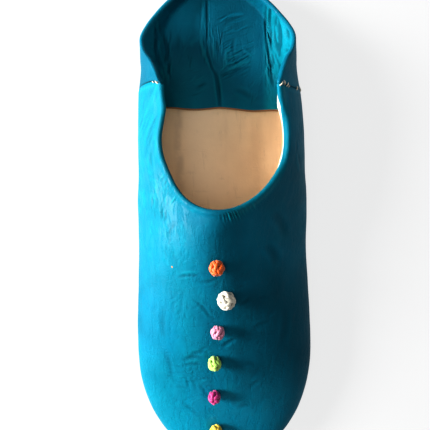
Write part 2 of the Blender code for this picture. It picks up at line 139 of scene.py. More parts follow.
# Creases, each a bent line from one place to another. across and along: millimetres from the middle
# of the shoe in plan. bend: sideways bow as a share of its length. depth and width in millimetres;
# a negative depth is a raised line.
Crease = namedtuple("Crease", "across along to_across to_along bend depth width")
VAMP_CREASES = (
    Crease(-20.6, -18.8, -10.6, -17.2, 0.05, 0.26, 0.7),
    Crease(-10.8, -20.0, -1.5, -17.5, -0.10, 0.26, 0.75),
    Crease(-19.0, -16.6, -10.0, -15.7, 0.08, -0.16, 0.6),
    Crease(-12.0, -30.8, -6.6, -37.4, 0.06, 0.24, 0.7),
    Crease(-9.4, -34.2, -3.8, -39.8, -0.05, 0.20, 0.65),
    Crease(-14.5, -29.0, -9.0, -35.5, 0.08, 0.15, 0.8),
    Crease(-1.2, -54.6, 5.4, -49.5, 0.06, 0.34, 1.0),
    Crease(0.4, -52.0, 6.6, -48.0, 0.06, -0.20, 0.8),
    Crease(-20.6, -62.6, -10.6, -60.0, 0.10, 0.26, 1.1),
    Crease(-17.4, -60.2, -8.0, -56.6, 0.12, 0.22, 1.0),
    Crease(-21.5, -66.0, -12.0, -63.5, 0.08, 0.16, 1.0),
    Crease(-20.5, -71.0, -18.5, -77.5, 0.15, 0.13, 0.8),
    Crease(-16.5, -73.0, -14.8, -79.0, 0.12, 0.11, 0.8),
    Crease(-12.5, -76.0, -9.5, -84.0, 0.10, 0.14, 1.0),
    Crease(12.0, -78.5, 17.5, -74.5, 0.05, 0.16, 1.1),
    Crease(8.0, -33.5, 13.5, -29.5, 0.06, 0.18, 1.0),
    Crease(14.0, -46.0, 22.0, -43.0, 0.08, 0.16, 1.2),
    Crease(9.0, -64.0, 16.0, -66.5, 0.10, 0.14, 1.1),
    Crease(-24.0, -26.0, -25.5, -42.0, 0.06, 0.08, 1.1),
    Crease(-19.5, -24.0, -21.0, -38.0, 0.07, 0.07, 0.9),
    Crease(-28.5, -34.0, -29.5, -52.0, -0.05, 0.12, 1.4),
    Crease(-30.0, -58.0, -27.0, -74.0, 0.08, 0.12, 1.4),
    Crease(-24.5, -2.0, -20.0, 8.0, 0.10, 0.15, 1.4),
    Crease(-32.0, 30.0, -29.5, 44.0, 0.05, 0.14, 1.2),
    Crease(-35.0, 36.0, -31.0, 52.0, -0.05, 0.12, 1.2),
    Crease(20.0, -5.0, 26.0, -16.0, 0.10, 0.18, 2.0),
    Crease(24.0, 10.0, 31.0, -4.0, 0.06, 0.16, 2.0),
    Crease(30.0, -38.0, 28.0, -58.0, 0.05, 0.12, 1.6),
    Crease(5.5, -91.0, 13.0, -89.0, 0.10, 0.12, 1.2),
    Crease(-22.0, -88.0, -15.0, -94.0, 0.12, 0.12, 1.2),
)
FLAP_CREASES = (
    Crease(-6.9, 122.0, -8.0, 97.0, 0.03, -0.42, 0.8),
    Crease(-8.0, 98.0, -4.2, 82.0, -0.08, -0.34, 0.8),
    Crease(-5.7, 122.0, -5.8, 92.0, 0.03, 0.50, 0.6),
    Crease(-5.6, 93.5, -1.4, 77.0, -0.06, 0.42, 0.6),
    Crease(-3.8, 102.0, -2.4, 84.0, 0.05, -0.26, 0.6),
    Crease(-1.7, 80.0, 0.3, 60.5, 0.02, 0.55, 0.9),
    Crease(-0.2, 95.0, 0.4, 86.0, 0.04, 0.25, 0.8),
    Crease(3.2, 104.0, 14.0, 107.0, 0.10, -0.19, 0.8),
    Crease(2.8, 101.0, 9.5, 105.0, 0.08, 0.14, 0.8),
    Crease(4.0, 78.0, 16.5, 83.5, 0.10, -0.28, 0.9),
    Crease(5.4, 76.5, 14.0, 81.0, 0.08, 0.22, 0.8),
    Crease(6.5, 92.0, 5.5, 80.0, -0.16, -0.24, 0.9),
    Crease(9.0, 96.0, 8.5, 86.0, -0.12, 0.18, 0.8),
    Crease(12.0, 90.0, 17.0, 86.0, 0.08, -0.16, 0.8),
    Crease(-14.0, 92.0, -10.0, 96.0, 0.06, -0.14, 1.2),
    Crease(-20.0, 99.0, -21.0, 90.0, 0.05, 0.16, 1.4),
    Crease(-12.0, 70.0, -6.0, 74.0, 0.06, 0.14, 1.2),
    Crease(8.0, 70.0, 17.0, 66.0, 0.06, 0.16, 1.2),
)
STRIP_CREASES = (
    Crease(23.4, 106.0, 24.6, 89.0, 0.02, 0.28, 0.60),
    Crease(24.4, 91.0, 26.6, 76.0, 0.03, 0.24, 0.60),
    Crease(24.9, 105.0, 25.9, 88.0, 0.02, -0.26, 0.60),
    Crease(29.6, 99.0, 29.0, 84.0, 0.06, 0.40, 0.8),
    Crease(31.2, 97.0, 29.8, 80.0, 0.08, -0.35, 0.8),
    Crease(27.4, 101.0, 26.6, 86.0, -0.05, 0.35, 0.9),
    Crease(25.4, 80.0, 27.4, 70.0, 0.10, 0.40, 0.8),
    Crease(27.5, 84.0, 28.2, 74.0, 0.06, -0.30, 0.7),
    Crease(24.2, 96.0, 25.0, 80.0, 0.05, 0.30, 0.8),
    Crease(-27.0, 98.0, -26.0, 84.0, 0.05, 0.35, 1.0),
    Crease(-30.0, 94.0, -28.6, 80.0, -0.05, 0.30, 0.9),
)

# Fields of fine wrinkles. across and along: middle of the field; wide and long: half its size, all in
# millimetres. heading: degrees from across to heelward. spread: how far headings differ, in degrees.
# count: how many. length, depth and width: of one wrinkle, in millimetres, each varied by the seed.
Wrinkles = namedtuple("Wrinkles", "across along wide long heading spread count length depth width seed")
VAMP_WRINKLES = (
    Wrinkles(-32.0, 55.0, 4.6, 11.0, 60.0, 9.0, 34, 6.5, 0.16, 0.50, 1),
    Wrinkles(-28.5, 14.0, 4.4, 12.0, 84.0, 22.0, 52, 4.0, 0.12, 0.45, 2),
    Wrinkles(-22.0, -4.0, 6.0, 10.0, 78.0, 26.0, 30, 3.5, 0.08, 0.50, 3),
    Wrinkles(-17.0, -30.0, 8.0, 14.0, 60.0, 40.0, 26, 4.5, 0.08, 0.60, 4),
    Wrinkles(-15.0, -66.0, 9.0, 12.0, 20.0, 30.0, 26, 5.0, 0.10, 0.60, 5),
    Wrinkles(-2.0, -58.0, 6.0, 8.0, 35.0, 30.0, 12, 4.0, 0.09, 0.60, 6),
    Wrinkles(37.0, 45.0, 3.0, 16.0, 96.0, 8.0, 16, 8.0, 0.12, 0.55, 7),
    Wrinkles(18.0, -40.0, 9.0, 20.0, 25.0, 35.0, 20, 6.0, 0.07, 0.70, 8),
)
FLAP_WRINKLES = (
    Wrinkles(-2.6, 92.0, 5.4, 9.0, 92.0, 8.0, 36, 6.5, 0.22, 0.32, 11),
    Wrinkles(10.5, 86.0, 6.6, 9.0, 24.0, 9.0, 44, 8.0, 0.30, 0.32, 12),
    Wrinkles(9.0, 102.0, 7.5, 5.0, 22.0, 10.0, 18, 8.0, 0.20, 0.34, 13),
    Wrinkles(-13.0, 74.0, 5.5, 6.0, 28.0, 20.0, 12, 5.0, 0.12, 0.40, 14),
    Wrinkles(-18.0, 93.0, 6.0, 10.0, 80.0, 20.0, 14, 6.0, 0.12, 0.45, 15),
    Wrinkles(19.0, 74.0, 5.0, 9.0, 70.0, 30.0, 22, 5.0, 0.14, 0.38, 16),
)
STRIP_WRINKLES = (
    Wrinkles(29.0, 91.0, 5.0, 14.0, 97.0, 7.0, 110, 7.5, 0.34, 0.40, 21),
    Wrinkles(25.8, 74.0, 2.0, 9.0, 98.0, 16.0, 40, 4.5, 0.26, 0.38, 22),
    Wrinkles(-27.5, 88.0, 3.0, 13.0, 84.0, 9.0, 30, 7.0, 0.24, 0.50, 23),
)

# Gathers where the collar edge was turned in. place: millimetres along the edge from the throat, to
# the right. spread: half their run. apart: from one to the next. out: how far out, in roll widths.
# depth: millimetres.
Gather = namedtuple("Gather", "place spread apart out depth")
GATHERS = (
    Gather(5.0, 3.6, 1.3, 0.95, 0.42),
    Gather(14.0, 3.5, 2.1, 0.80, 0.16),
    Gather(-24.0, 2.2, 1.6, 1.40, 0.20),
    Gather(-33.0, 4.0, 2.4, 1.20, 0.12),
    Gather(48.0, 6.0, 3.1, 0.90, 0.05),
)

# Stitches over the side seams. side: 1 right, -1 left. turn: degrees down the wall's round, about 45
# at the collar and 90 at the widest place. slant: how much lower the heelward end lies, in units of
# three degrees. toeward and heelward: reach from the seam, thick: thickness of the thread, and proud:
# how far the leather under them stands up, all in millimetres.
Stitch = namedtuple("Stitch", "side turn slant toeward heelward thick proud")
STITCHES = (
    Stitch(1, 45.3, 0.7, 0.9, 0.8, 0.42, 0.80),
    Stitch(1, 47.8, -0.4, 0.4, 1.4, 0.36, 0.75),
    Stitch(1, 50.9, 0.5, 0.9, 1.0, 0.36, 0.60),
    Stitch(1, 53.0, 0.6, 1.0, 0.1, 0.22, 0.40),
    Stitch(1, 64.8, 0.3, 1.2, 0.9, 0.36, 0.05),
    Stitch(1, 79.0, -0.4, 0.9, 0.9, 0.26, 0.00),
    Stitch(1, 86.5, 0.8, 0.8, 2.8, 0.30, 0.00),
    Stitch(1, 89.0, -0.6, 1.0, 2.0, 0.28, 0.00),
    Stitch(-1, 47.4, 0.5, 0.7, 0.9, 0.42, 0.70),
    Stitch(-1, 50.6, 0.3, 0.6, 0.5, 0.30, 0.55),
    Stitch(-1, 82.0, 0.2, 0.8, 0.8, 0.26, 0.00),
)

# Thread balls. leads and bights: turns of the knot round the ball and its loops at each pole.
# thread: thickness of a strand in millimetres. turn: how the ball lies, in degrees. highlight: its
# lighter fibres.
Ball = namedtuple("Ball", "node slot leads bights thread turn colour highlight")
BALLS = (
    Ball("pompom_orange", "orange_thread", 4, 7, 1.50, (62, 10, 0),
         (0.58, 0.075, 0.002), (0.78, 0.17, 0.008)),
    Ball("pompom_white", "white_thread", 4, 7, 1.80, (18, 50, 0),
         (0.50, 0.46, 0.37), (0.70, 0.67, 0.58)),
    Ball("pompom_pink", "pink_thread", 4, 7, 1.50, (70, -30, 0),
         (0.44, 0.12, 0.21), (0.68, 0.38, 0.46)),
    Ball("pompom_green", "green_thread", 4, 7, 1.45, (25, 35, 10),
         (0.22, 0.43, 0.040), (0.58, 0.76, 0.27)),
    Ball("pompom_magenta", "magenta_thread", 3, 5, 1.85, (12, -8, 20),
         (0.30, 0.006, 0.10), (0.54, 0.05, 0.25)),
    Ball("pompom_yellow", "yellow_thread", 3, 5, 1.95, (40, 20, 0),
         (0.56, 0.37, 0.012), (0.76, 0.60, 0.12)),
)

# Studio lights. aim: the spot they face. Metres and watts.
Light = namedtuple("Light", "name place aim size power")
LIGHTS = (
    Light("key_light", (-0.81, 0.13, 0.475), (0.0, 0.0, 0.02), (0.30, 0.30), 19.6),
    Light("side_light", (-0.90, 0.05, 0.14), (0.0, 0.0, 0.02), (0.60, 0.24), 18.0),
    Light("high_light", (-0.14, 0.08, 0.88), (0.0, 0.0, 0.0), (0.4, 0.4), 1.9),
)

# Where the outline's toe round ends and its heel round starts, as values of s, and how the spokes of
# the vamp crowd at the throat.
TOE_ZONE = 0.3
HEEL_ZONE = 0.7
FAN = 2.2

# Fixed colours. A pair is a leather and its darker tint, or a thread and its lighter fibres.
DYED = ((0.002, 0.075, 0.115), (0.001, 0.050, 0.080))
FLESH = ((0.30, 0.20, 0.12), (0.20, 0.12, 0.07))
CUT = ((0.22, 0.10, 0.05), (0.10, 0.05, 0.03))
SOLE_DARK = (0.20, 0.11, 0.055)
SOLE_EDGE = ((0.20, 0.10, 0.05), (0.10, 0.05, 0.025))
TAN_DARK = (0.72, 0.47, 0.275)
# Paler tan used only for painted light on the insole
TAN_PAINTED_LIGHT = (0.99, 0.80, 0.59)
TAN_EDGE = ((0.42, 0.25, 0.13), (0.28, 0.16, 0.08))
CREAM_DARK = (0.62, 0.50, 0.36)
CREAM_THREAD = ((0.52, 0.46, 0.34), (0.80, 0.74, 0.62))
DYE_GONE = (0.34, 0.170, 0.088)


class SlipperSizes(bpy.types.PropertyGroup):
    """Sizes of the slipper."""

    length: bpy.props.FloatProperty(
        name="Length", description="From the toe tip to the back of the heel",
        default=HEEL_Y - TOE_Y, unit="LENGTH", subtype="DISTANCE")
    ball_width: bpy.props.FloatProperty(
        name="Ball width", description="Widest place of the upper",
        default=0.0914, unit="LENGTH", subtype="DISTANCE")
    heel_width: bpy.props.FloatProperty(
        name="Heel width", description="Width where the heel starts to round",
        default=0.0770, unit="LENGTH", subtype="DISTANCE")
    instep: bpy.props.FloatProperty(
        name="Instep height", description="Height of the ridge at the throat",
        default=0.0540, unit="LENGTH", subtype="DISTANCE")
    seam: bpy.props.FloatProperty(
        name="Seam height", description="Top of the side seams",
        default=0.0450, unit="LENGTH", subtype="DISTANCE")
    bulge: bpy.props.FloatProperty(
        name="Bulge height", description="Height at which the upper is widest",
        default=0.0120, unit="LENGTH", subtype="DISTANCE")
    wall: bpy.props.FloatProperty(
        name="Upper wall", description="Leather and lining of the upper together",
        default=0.0020, unit="LENGTH", subtype="DISTANCE")
    roll: bpy.props.FloatProperty(
        name="Collar roll", description="How far the rolled collar edge stands proud",
        default=0.0007, unit="LENGTH", subtype="DISTANCE")
    heel_wall: bpy.props.FloatProperty(
        name="Heel wall", description="Leather of the folded heel piece",
        default=0.0015, unit="LENGTH", subtype="DISTANCE")
    collar_width: bpy.props.FloatProperty(
        name="Collar width", description="Width of the opening at its edge",
        default=0.0566, unit="LENGTH", subtype="DISTANCE")


class SlipperColours(bpy.types.PropertyGroup):
    """Colours of the leathers."""

    teal: bpy.props.FloatVectorProperty(
        name="Teal", description="Dyed upper leather", size=3, subtype="COLOR",
        default=(0.0008, 0.152, 0.233), min=0.0, max=1.0)
    # Darker teal for random dye clouds and specks, and darkened further for painted shade
    teal_deep: bpy.props.FloatVectorProperty(
        name="Deep teal", description="Dye gathered in troughs and shaded parts", size=3, subtype="COLOR",
        default=(0.0006, 0.102, 0.158), min=0.0, max=1.0)
    # Paler teal for random clouds and worn patches, and for painted light
    teal_pale: bpy.props.FloatVectorProperty(
        name="Pale teal", description="Rubbed and thinly dyed patches", size=3, subtype="COLOR",
        default=(0.0030, 0.200, 0.248), min=0.0, max=1.0)
    # Used only for painted light on the toe, the flap and the right strip
    teal_for_painted_light: bpy.props.FloatVectorProperty(
        name="Bright teal", description="Dye that took strongest, on the toe and the flap", size=3,
        subtype="COLOR", default=(0.0020, 0.250, 0.370), min=0.0, max=1.0)
    tan: bpy.props.FloatVectorProperty(
        name="Tan", description="Insole leather", size=3, subtype="COLOR",
        default=(0.920, 0.655, 0.415), min=0.0, max=1.0)
    cream: bpy.props.FloatVectorProperty(
        name="Cream", description="Lining leather and sewing thread", size=3, subtype="COLOR",
        default=(0.80, 0.70, 0.55), min=0.0, max=1.0)
    sole: bpy.props.FloatVectorProperty(
        name="Sole", description="Sole leather", size=3, subtype="COLOR",
        default=(0.36, 0.20, 0.10), min=0.0, max=1.0)


class Wire:
    """A shader socket that can be used in arithmetic; each operator adds its Math node."""

    def __init__(self, finish, socket):
        self.finish = finish
        self.socket = socket

    def math(self, operation, *others):
        """A Math node on this value and the others."""
        return self.finish.add("ShaderNodeMath", {"operation": operation}, dict(enumerate((self, *others))))

    def __add__(self, other):
        return self.math("ADD", other)

    def __sub__(self, other):
        return self.math("SUBTRACT", other)

    def __mul__(self, other):
        return self.math("MULTIPLY", other)

    def __rsub__(self, other):
        return self.finish.add("ShaderNodeMath", {"operation": "SUBTRACT"}, {0: other, 1: self})

    __radd__ = __add__
    __rmul__ = __mul__

    def clamp(self):
        """The value kept between 0 and 1."""
        return self.finish.add("ShaderNodeClamp", {}, {0: self})


class Finish:
    """A material whose nodes are added one call at a time."""

    def __init__(self, name):
        self.material = bpy.data.materials.new(name)
        self.material.use_nodes = True
        self.tree = self.material.node_tree
        self.shader = self.tree.nodes["Principled BSDF"]

    def add(self, kind, settings, sockets, output=0):
        """Adds a node, gives it its settings and then its sockets, and returns one output."""
        node = self.tree.nodes.new(kind)
        for name, value in settings.items():
            setattr(node, name, value)
        for name, value in sockets.items():
            self.plug(node.inputs[name], value)
        return Wire(self, node.outputs[output])

    def plug(self, socket, value):
        """Links a wire to a socket, or sets the socket's own value."""
        if isinstance(value, Wire):
            self.tree.links.new(value.socket, socket)
        elif socket.type == "RGBA":
            socket.default_value = (*value, 1.0)
        else:
            socket.default_value = value

    def place(self, stretch=(1.0, 1.0, 1.0), turn=(0.0, 0.0, 0.0)):
        """Coordinates on the object, in metres times the stretch."""
        where = self.add("ShaderNodeTexCoord", {}, {}, 3)
        return self.add("ShaderNodeMapping", {}, {"Vector": where, "Scale": stretch, "Rotation": turn})

    def noise(self, scale, detail=4.0, rough=0.55, where=None, distortion=0.0):
        """A noise value between 0 and 1."""
        return self.add("ShaderNodeTexNoise", {"noise_dimensions": "3D"}, {
            "Vector": where or self.place(), "Scale": scale, "Detail": detail, "Roughness": rough,
            "Distortion": distortion})

    def cells(self, scale):
        """Distance in a soft pattern of cells."""
        return self.add("ShaderNodeTexVoronoi", {"feature": "SMOOTH_F1"}, {
            "Vector": self.place(), "Scale": scale})

    def step(self, value, low, high):
        """0 below low, 1 above high, smooth between."""
        return self.add("ShaderNodeMapRange", {"interpolation_type": "SMOOTHSTEP"}, {
            "Value": value, "From Min": low, "From Max": high})

    def mix(self, factor, first, second):
        """Mixes two colours."""
        return self.add("ShaderNodeMix", {"data_type": "RGBA"}, {0: factor, 6: first, 7: second}, 2)

    def attribute(self, name):
        """A value stored on the mesh."""
        return self.add("ShaderNodeAttribute", {"attribute_name": name}, {}, 2)

    def bump(self, height, distance, strength, under=None):
        """A bump, in metres, over another one."""
        sockets = {"Height": height, "Distance": distance, "Strength": strength}
        if under is not None:
            sockets["Normal"] = under
        return self.add("ShaderNodeBump", {}, sockets)

    def finish(self, **sockets):
        """Plugs the shader's own sockets, named with underscores, and returns the material."""
        for name, value in sockets.items():
            self.plug(self.shader.inputs[name.replace("_", " ")], value)
        return self.material


def table_curve(rows, column, at, level_ends=False):
    """A smooth curve through one column of a table, by cubic pieces between its rows."""
    keys = np.array([row[0] for row in rows])
    values = np.array([getattr(row, column) for row in rows])
    slopes = np.zeros_like(values)
    slopes[1:-1] = (values[2:] - values[:-2]) / (keys[2:] - keys[:-2])
    if not level_ends:
        slopes[0] = (values[1] - values[0]) / (keys[1] - keys[0])
        slopes[-1] = (values[-1] - values[-2]) / (keys[-1] - keys[-2])
    at = np.clip(at, keys[0], keys[-1])
    piece = np.clip(np.searchsorted(keys, at, side="right") - 1, 0, len(keys) - 2)
    span = keys[piece + 1] - keys[piece]
    t = (at - keys[piece]) / span
    start = values[piece] * (1 + 2 * t) * (1 - t) ** 2 + slopes[piece] * span * t * (1 - t) ** 2
    end = values[piece + 1] * t * t * (3 - 2 * t) + slopes[piece + 1] * span * t * t * (t - 1)
    return start + end


def ramp(value, start, end):
    """0 up to start and 1 from end on, straight between; the end may be the smaller of the two."""
    return np.clip((value - start) / (end - start), 0, 1)


def smooth(share):
    """A share from 0 to 1 with level ends."""
    return share * share * (3 - 2 * share)


def bell(value, middle, reach, power=2):
    """1 at the middle, falling smoothly to both sides."""
    return np.exp(-((value - middle) / reach) ** power)


def darker(colour, share):
    """A colour at that share of its brightness."""
    return tuple(part * share for part in colour)


def walked_along(points):
    """Length walked along a row of points, from 0 at its first."""
    steps = np.linalg.norm(np.diff(points, axis=0), axis=1)
    return np.concatenate([[0.0], np.cumsum(steps)])


def superellipse(share, squareness):
    """Height of a superellipse's quarter, from 0 at its end to 1 at its middle."""
    share = np.clip(share, 0.0, 1.0)
    return (1 - (1 - share) ** squareness) ** (1 / squareness)


def arch_share(side, fullness):
    """Share of the rise left between the ridge (0) and the outline (1)."""
    side = np.clip(side, 0.0, 1.0)
    return (1 - side ** fullness) ** (1 / fullness)


def unit(vectors):
    """Vectors at length 1."""
    return vectors / np.maximum(np.linalg.norm(vectors, axis=-1, keepdims=True), 1e-12)


class Last:
    """The form that the leather was stretched over, worked out from the sizes."""

    TOE_ROUND = 60.0 * MM
    HEEL_ROUND = 42.0 * MM
    NOSE_ROUND = 16.0 * MM
    TOE_SQUARENESS = 2.15
    HEEL_SQUARENESS = 1.85
    NOSE_SQUARENESS = 2.2
    OUTSOLE = 3.5 * MM
    INSOLE = 3.2 * MM
    CLEARANCE = 0.3 * MM
    TOE_SPRING = 3.0 * MM
    ARCH_LIFT = 1.4 * MM
    SPRING_START = 0.18
    ARCH_ENDS = (0.40, 0.68)
    TUCK_UNDER = 3.0 * MM
    TUCK_TURN = math.radians(58.0)
    COLLAR_ROUND = 29.5 * MM
    COLLAR_BEND = 0.64
    THROAT_ALONG = 0.5525
    SEAM_ALONG = 0.779
    SEAM_NARROWING = 0.97
    FOLD_RADIUS = 1.15 * MM
    RIDGE_ROUND = 2.2 * MM
    RIDGE_SLIP = 3.6 * MM
    RIDGE_SLIP_ALONG = 0.485
    RIDGE_SLIP_REACH = 0.05
    RIDGE_FALL = 0.16
    RIDGE_FALL_ALONG = 0.42
    RIDGE_FALL_REACH = 0.14
    LEAN_INNER = 8.0 * MM
    SEAM_PULL = 8.0 * MM
    FLAP_LENGTH = 44.8 * MM
    FLAP_FRONT_ALONG = 0.7447
    CREASE_ROUND = 2.0 * MM
    WAIST_PLACE = 38.0 * MM
    WAIST_REACH = 46.0 * MM
    WAIST_DRAW = 1.3 * MM

    def __init__(self, sizes):
        self.length = sizes.length
        self.ball = sizes.ball_width
        self.heel = sizes.heel_width
        self.instep = sizes.instep
        self.seam_height = sizes.seam
        self.bulge = sizes.bulge
        self.wall = sizes.wall
        self.roll = sizes.roll
        self.heel_wall = sizes.heel_wall
        self.collar_half = sizes.collar_width / 2
        self.toe_y = -self.length / 2
        self.heel_y = self.length / 2
        self.toe_side_y = self.toe_y + self.TOE_ROUND
        self.heel_side_y = self.heel_y - self.HEEL_ROUND
        self.seam_y = self.at(self.SEAM_ALONG)
        self.seam_x = self.collar_half * self.SEAM_NARROWING
        self.seam_width = float(self.half_width(self.seam_y))
        top = arch_share(self.seam_x / self.seam_width, SECTIONS[-1].fullness)
        self.wing_rise = (self.seam_height - self.bulge) / top

    def at(self, along):
        """Place on the length axis from a share of the length."""
        return self.toe_y + along * self.length

    def half_width(self, y):
        """Half the outline's width."""
        toe = self.ball / 2 * superellipse((y - self.toe_y) / self.TOE_ROUND, self.TOE_SQUARENESS)
        heel = self.heel / 2 * superellipse((self.heel_y - y) / self.HEEL_ROUND, self.HEEL_SQUARENESS)
        first, final = SIDES[0].along, SIDES[-1].along
        at = first + (final - first) * (y - self.toe_side_y) / (self.heel_side_y - self.toe_side_y)
        heelward = table_curve(SIDES, "heelward", at, True)
        side = (self.ball + (self.heel - self.ball) * heelward) / 2 * table_curve(SIDES, "swell", at, True)
        return np.where(y < self.toe_side_y, toe, np.where(y > self.heel_side_y, heel, side))

    def outline(self, s):
        """Points of the outline's right half, s from 0 at the toe tip to 1 at the heel tip."""
        s = np.asarray(s, float)
        mirror = np.where((s < 0) | (s > 1), -1.0, 1.0)
        s = np.abs(s)
        s = np.where(s > 1, 2 - s, s)
        toe = math.pi / 2 * ramp(s, 0, TOE_ZONE)
        heel = math.pi / 2 * ramp(s, 1, HEEL_ZONE)
        part = (s - TOE_ZONE) / (HEEL_ZONE - TOE_ZONE)
        side_y = self.toe_side_y + (self.heel_side_y - self.toe_side_y) * part

        def ends(turn, squareness):
            return np.abs(np.cos(turn)) ** (2 / squareness), np.sin(turn) ** (2 / squareness)

        toe_c, toe_s = ends(toe, self.TOE_SQUARENESS)
        heel_c, heel_s = ends(heel, self.HEEL_SQUARENESS)
        x = np.where(s < TOE_ZONE, self.ball / 2 * toe_s,
                     np.where(s > HEEL_ZONE, self.heel / 2 * heel_s, self.half_width(side_y)))
        y = np.where(s < TOE_ZONE, self.toe_y + self.TOE_ROUND * (1 - toe_c),
                     np.where(s > HEEL_ZONE, self.heel_y - self.HEEL_ROUND * (1 - heel_c), side_y))
        return np.stack([mirror * x, y], -1)

    def share(self, y):
        """The outline's s at a place on its side."""
        part = (y - self.toe_side_y) / (self.heel_side_y - self.toe_side_y)
        return TOE_ZONE + (HEEL_ZONE - TOE_ZONE) * part

    def normal(self, s):
        """Unit vectors out of the outline."""
        run = self.outline(np.asarray(s) + 0.004) - self.outline(np.asarray(s) - 0.004)
        return unit(np.stack([run[..., 1], -run[..., 0]], -1))

    def walk(self, start, end, steps):
        """Values of s from start to end, evenly spaced along the outline."""
        marks = np.linspace(start, end, 1200)
        reached = walked_along(self.outline(marks))
        return np.interp(np.linspace(0, reached[-1], steps + 1), reached, marks)

    def lift(self, y):
        """How far the sole's underside is off the floor."""
        along = (y - self.toe_y) / self.length
        spring = np.maximum(0.0, (self.SPRING_START - along) / self.SPRING_START)
        front, back = self.ARCH_ENDS
        arch = np.sin(math.pi * ramp(along, front, back)) ** 2
        return self.TOE_SPRING * spring ** 2 + self.ARCH_LIFT * arch

    def rim(self, y):
        """Lower edge of the upper."""
        return self.lift(y) + self.OUTSOLE + self.CLEARANCE

    def floor(self, y):
        """Grain side of the flap where it lies on the insole."""
        return self.rim(y) + self.INSOLE + self.CLEARANCE + self.heel_wall

    def ridge(self, y):
        """Where the ridge of the vamp runs."""
        lean = table_curve(SECTIONS, "lean", (y - self.toe_y) / self.length)
        return lean * self.ball * np.minimum(1.0, self.half_width(y) / (self.ball / 2))

    def lean_in(self, x, y):
        """How far the collar edge leans towards the middle, fading out at the outline."""
        at = y / MM
        pull = np.where(x < 0, table_curve(LEANS, "left", at), -table_curve(LEANS, "right", at))
        room = ramp(np.abs(x), self.half_width(y), self.collar_half)
        return pull * MM * room ** 1.4 * ramp(np.abs(x), 0, self.LEAN_INNER)

    def seam_slip(self, x, y):
        """How far the leather near a side seam is pulled heelward."""
        return table_curve(SLIPS, "slip", x / MM) * MM * bell(y, self.seam_y, self.SEAM_PULL)

    def waist(self, points):
        """The points with the left side drawn in a little along the arch."""
        near = bell(points[..., 1], self.WAIST_PLACE, self.WAIST_REACH, 4)
        side = ramp(points[..., 0], 0, -self.ball / 2) ** 1.5
        drawn = np.array(points)
        drawn[..., 0] += self.WAIST_DRAW * near * side
        return drawn

    def vamp_height(self, x, y):
        """Height of the upper's outer face over a place in plan."""
        along = (y - self.toe_y) / self.length
        rise = table_curve(SECTIONS, "instep", along) * (self.instep - self.bulge)
        rise = rise + table_curve(SECTIONS, "wing", along) * self.wing_rise
        rise = rise * superellipse((y - self.toe_y) / self.NOSE_ROUND, self.NOSE_SQUARENESS)
        ridge = self.ridge(y) - self.RIDGE_SLIP * bell(along, self.RIDGE_SLIP_ALONG, self.RIDGE_SLIP_REACH)
        width = self.half_width(y)
        room = np.maximum(np.where(x > ridge, width - ridge, width + ridge), 1e-7)
        soft = self.RIDGE_ROUND / room
        side = np.sqrt((np.abs(x - ridge) / room) ** 2 + soft ** 2) - soft
        side = side / (np.sqrt(1 + soft ** 2) - soft)
        falling = ramp(x - ridge, 0, 2 * MM) * bell(along, self.RIDGE_FALL_ALONG, self.RIDGE_FALL_REACH, 4)
        fullness = table_curve(SECTIONS, "fullness", along) - self.RIDGE_FALL * falling
        return self.lift(y) + self.bulge + rise * arch_share(side, fullness)

    def collar(self, share):
        """Points of the collar's right half in plan, from the throat (0) to the seam (1)."""
        throat = self.at(self.THROAT_ALONG)
        turn = math.pi / 2 * ramp(share, 0, self.COLLAR_BEND)
        part = ramp(share, self.COLLAR_BEND, 1)
        x = self.collar_half * np.sin(turn) + (self.seam_x - self.collar_half) * part
        side = throat + self.COLLAR_ROUND
        y = throat + self.COLLAR_ROUND * (1 - np.cos(turn)) + (self.seam_y - side) * part
        return np.stack([x, y], -1)

    def tuck(self, s, rows):
        """Points from the bulge down to the lower edge, as an array of rows by s."""
        turn = (self.TUCK_TURN * np.arange(1, rows + 1) / rows)[:, None]
        inset = self.TUCK_UNDER * (1 - np.cos(turn)) / (1 - math.cos(self.TUCK_TURN))
        plan = self.outline(s)[None] - self.normal(s)[None] * inset[..., None]
        y = plan[..., 1]
        bulge = self.lift(y) + self.bulge
        z = bulge - (bulge - self.rim(y)) * np.sin(turn) / math.sin(self.TUCK_TURN)
        return np.concatenate([plan, z[..., None]], -1)


def grid_normals(grid):
    """Unit normals of a grid of points, by its rows and columns."""
    across = np.gradient(grid, axis=0)
    down = np.gradient(grid, axis=1)
    return unit(np.cross(across, down))


def crease_relief(points, creases):
    """Depth pressed into the leather by a table of creases, in metres, at each point in plan.

    Each is a soft trough with a low bank on either side, and it fades at both ends.
    """
    plan = points[..., :2].reshape(-1, 2) / MM
    relief = np.zeros(len(plan))
    for crease in creases:
        start = np.array([crease.across, crease.along])
        end = np.array([crease.to_across, crease.to_along])
        run = end - start
        side = np.array([-run[1], run[0]])
        reach = 3.2 * crease.width
        low = np.minimum(start, end) - reach - abs(crease.bend) * np.linalg.norm(run)
        high = np.maximum(start, end) + reach + abs(crease.bend) * np.linalg.norm(run)
        near = np.flatnonzero(((plan > low) & (plan < high)).all(1))
        if not len(near):
            continue
        spots = plan[near] - start
        t = spots @ run / (run @ run)
        inside = np.clip(t, 0, 1)
        bow = 4 * crease.bend * inside * (1 - inside)
        off = np.linalg.norm(spots - inside[:, None] * run - bow[:, None] * side, axis=1) / crease.width
        fade = np.clip(np.sin(math.pi * inside), 0, 1) ** 0.7
        trough = 0.38 * bell(off, 1.6, 0.7) - bell(off, 0, 1)
        relief[near] += crease.depth * MM * trough * fade
    return relief.reshape(points.shape[:-1])


